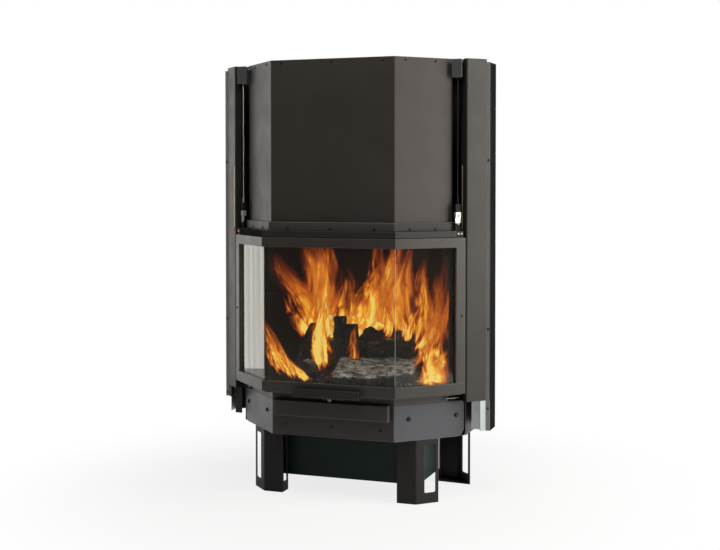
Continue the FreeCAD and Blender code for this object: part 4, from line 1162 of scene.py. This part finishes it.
# foot x, y, height over the hearth; tip x, height; width; share of it at the foot; bow; heat
tongues = [
    (-0.140, 0.060, 0.117, -0.320, 0.445, 0.215, 0.70, 0.000, 1.10),
    (-0.144, 0.065, 0.116, -0.168, 0.545, 0.215, 0.70, -0.012, 1.18),
    (-0.188, -0.020, 0.279, -0.349, 0.490, 0.150, 0.60, 0.000, 0.58),
    (-0.128, 0.055, 0.120, -0.150, 0.370, 0.165, 0.80, 0.000, 1.65),
    (-0.172, 0.070, 0.200, -0.205, 0.560, 0.150, 0.80, 0.000, 0.86),
    (-0.150, 0.075, 0.194, -0.142, 0.565, 0.130, 0.85, 0.000, 0.90),
    (-0.044, 0.070, 0.110, -0.072, 0.410, 0.200, 0.80, 0.000, 1.15),
    (0.024, 0.060, 0.110, 0.084, 0.460, 0.195, 0.80, 0.000, 1.25),
    (0.058, 0.080, 0.135, 0.100, 0.555, 0.180, 0.75, 0.000, 1.00),
    (0.022, 0.050, 0.105, 0.030, 0.320, 0.220, 0.90, 0.000, 1.60),
    (0.092, 0.085, 0.200, 0.118, 0.565, 0.135, 0.85, 0.000, 0.90),
    (0.170, 0.060, 0.120, 0.178, 0.545, 0.150, 0.85, 0.000, 0.90),
    (0.240, 0.000, 0.130, 0.295, 0.480, 0.148, 0.70, 0.000, 1.05),
    (0.299, -0.030, 0.116, 0.336, 0.420, 0.120, 0.70, 0.000, 0.80),
    (0.335, -0.050, 0.130, 0.345, 0.492, 0.140, 0.95, 0.000, 0.64),
    (0.120, 0.095, 0.202, 0.160, 0.560, 0.240, 0.85, 0.000, 0.66),
    (-0.185, -0.120, 0.005, -0.285, 0.175, 0.085, 0.35, -0.012, 1.30),
    (-0.235, -0.110, 0.015, -0.312, 0.250, 0.105, 0.45, -0.010, 1.00),
    (-0.125, -0.125, -0.002, -0.235, 0.090, 0.062, 0.35, 0.000, 1.45),
    (-0.101, -0.060, 0.030, -0.119, 0.330, 0.098, 0.45, 0.000, 1.75),
    (0.012, -0.045, 0.050, 0.026, 0.235, 0.058, 0.25, 0.000, 0.75),
    (0.140, -0.030, 0.157, 0.141, 0.285, 0.058, 0.30, 0.000, 1.25),
    (0.215, -0.040, 0.135, 0.174, 0.275, 0.036, 0.25, 0.009, 1.25),
    (0.220, -0.040, 0.140, 0.272, 0.315, 0.038, 0.25, -0.009, 1.25),
    (0.325, -0.075, -0.010, 0.345, 0.220, 0.165, 0.60, 0.000, 1.15),
    (0.280, -0.085, 0.008, 0.392, 0.150, 0.110, 0.30, 0.009, 1.55),
    (0.270, -0.050, 0.110, 0.304, 0.240, 0.085, 0.40, 0.000, 1.10),
    (0.312, -0.060, 0.060, 0.275, 0.200, 0.075, 0.40, 0.000, 1.10),
]
flame_mesh = bmesh.new()
for layer in ("tongue", "seed_heat"):
    flame_mesh.loops.layers.uv.new(layer)
for number, (x, y, low, tip_x, high, width, foot_share, bend, hot) in enumerate(tongues):
    foot = over_hearth(x, y, low)
    tip = over_hearth(tip_x, y + TIP_BACK, high)
    ribbon(flame_mesh, foot, tip, width, foot_share, bend, hot, YAW, 2 * number)
    if number % CROSS_EVERY == 1:
        ribbon(flame_mesh, foot, tip, CROSS_WIDTH * width, foot_share, bend, CROSS_HEAT * hot, CROSS_YAW,
               2 * number + 1)
make_piece("flames", flame_mesh, flame.material, smooth_angle=180)
print(len(tongues), "tongues of flame")

# %% [markdown]
# ## Studio floor
# The photograph is a catalogue shot: white all round, a large soft light on each side and little light
# from the front, so the front stays dark and the slanted facets shine. The floor is plain and pale. It
# fades to the white of the background away from the object, and keeps a soft shadow under it.

# %% Floor
WHITE = (1.0, 1.0, 1.0, 1.0)
FLOOR_HALF = 8.0
pale = Finish("pale_floor")
pale.set(Base_Color=(0.82, 0.82, 0.82, 1.0), Roughness=0.9, Specular_IOR_Level=0.05)
place = pale.add("ShaderNodeTexCoord").outputs["Object"]
distance = pale.add("ShaderNodeVectorMath", {0: place}, operation="LENGTH").outputs["Value"]
rays = pale.add("ShaderNodeLightPath").outputs
far_side = pale.span(pale.parts(place)["Y"], 0.0, 1.0, -0.3, 0.5, True)
mirrored = pale.math("MULTIPLY", rays["Is Glossy Ray"], far_side)
looked_at = pale.math("MAXIMUM", rays["Is Camera Ray"], rays["Is Transmission Ray"], mirrored)
whiteness = pale.math("MULTIPLY", looked_at, pale.span(distance, 0.80, 1.0, 0.5, 1.5, True))
white = pale.add("ShaderNodeEmission", {"Color": WHITE})
pale.cover(pale.mix_shaders(whiteness, pale.shader, white))
floor_mesh = bmesh.new()
bmesh.ops.create_grid(floor_mesh, x_segments=1, y_segments=1, size=FLOOR_HALF)
floor = make_piece("floor", floor_mesh, pale.material, None)
print("floor", 2 * FLOOR_HALF, "m wide")

# %% [markdown]
# ## Studio walls
# The world is white where the camera or a clear pane looks at it. In reflections it is white behind and
# beside the object and dim in front, as in a studio with the camera's side kept dark. Light Path tells
# these looks apart, so that the white background adds no light to the object.

# %% World
DIM = 0.10
world = bpy.data.worlds.new("studio")
bpy.context.scene.world = world
sky = NodeKit(world)
sky.tree.nodes.clear()
rays = sky.add("ShaderNodeLightPath").outputs
direction = sky.add("ShaderNodeTexCoord").outputs["Generated"]
behind = sky.span(sky.parts(direction)["Y"], DIM, 1.0, -0.30, 0.25, True)
glossy = sky.math("MULTIPLY", rays["Is Glossy Ray"], behind)
level = sky.math("MAXIMUM", rays["Is Camera Ray"], rays["Is Transmission Ray"], glossy, DIM)
backdrop = sky.add("ShaderNodeBackground", {"Color": WHITE, "Strength": level})
sky.add("ShaderNodeOutputWorld", {"Surface": backdrop.outputs[0]})
print("world ready")

# %% [markdown]
# ## Lights
# Three soft lights: a tall one at the left and a little behind, one at the right, and a broad weak one
# above. Each is aimed at the middle of the insert. Large area lights give the long soft gleams that
# sheet steel shows in a studio.

# %% Lights
AIM = Vector((0, 0, 0.8))


def softbox(name, place, width, height, power):
    lamp = bpy.data.lights.new(name, "AREA")
    lamp.shape = "RECTANGLE"
    lamp.size = width
    lamp.size_y = height
    lamp.energy = power
    lamp.color = (1.0, 0.97, 0.92)
    holder = bpy.data.objects.new(name, lamp)
    holder.location = place
    holder.rotation_euler = (AIM - Vector(place)).to_track_quat("-Z", "Y").to_euler()
    bpy.context.scene.collection.objects.link(holder)


softbox("softbox_left", (-3.0, 0.4, 1.1), width=1.7, height=2.6, power=21.5)
softbox("softbox_right", (3.0, 0.1, 1.5), width=1.6, height=2.6, power=106)
softbox("softbox_top", (0.4, -1.6, 3.4), width=2.4, height=1.6, power=45)
print("three lights aimed at z =", round(AIM.z, 2))

# %% [markdown]
# ## Camera
# The photograph is taken from a little to the right, just above the door, with a long lens. The place,
# turn and lens below were fitted to the corners of the hood, door, plinth and legs.

# %% Camera
view = bpy.data.cameras.new("camera")
view.lens = 60.81
view.sensor_width = 36.0
view.shift_y = -0.08
camera = bpy.data.objects.new("camera", view)
camera.location = (1.5364, -4.2041, 1.1209)
camera.rotation_euler = (math.radians(90 - 1.57), 0.0, math.radians(19.8))
bpy.context.scene.collection.objects.link(camera)
bpy.context.scene.camera = camera
bpy.context.scene.view_settings.view_transform = "Standard"
print("camera", [round(value, 3) for value in camera.location])
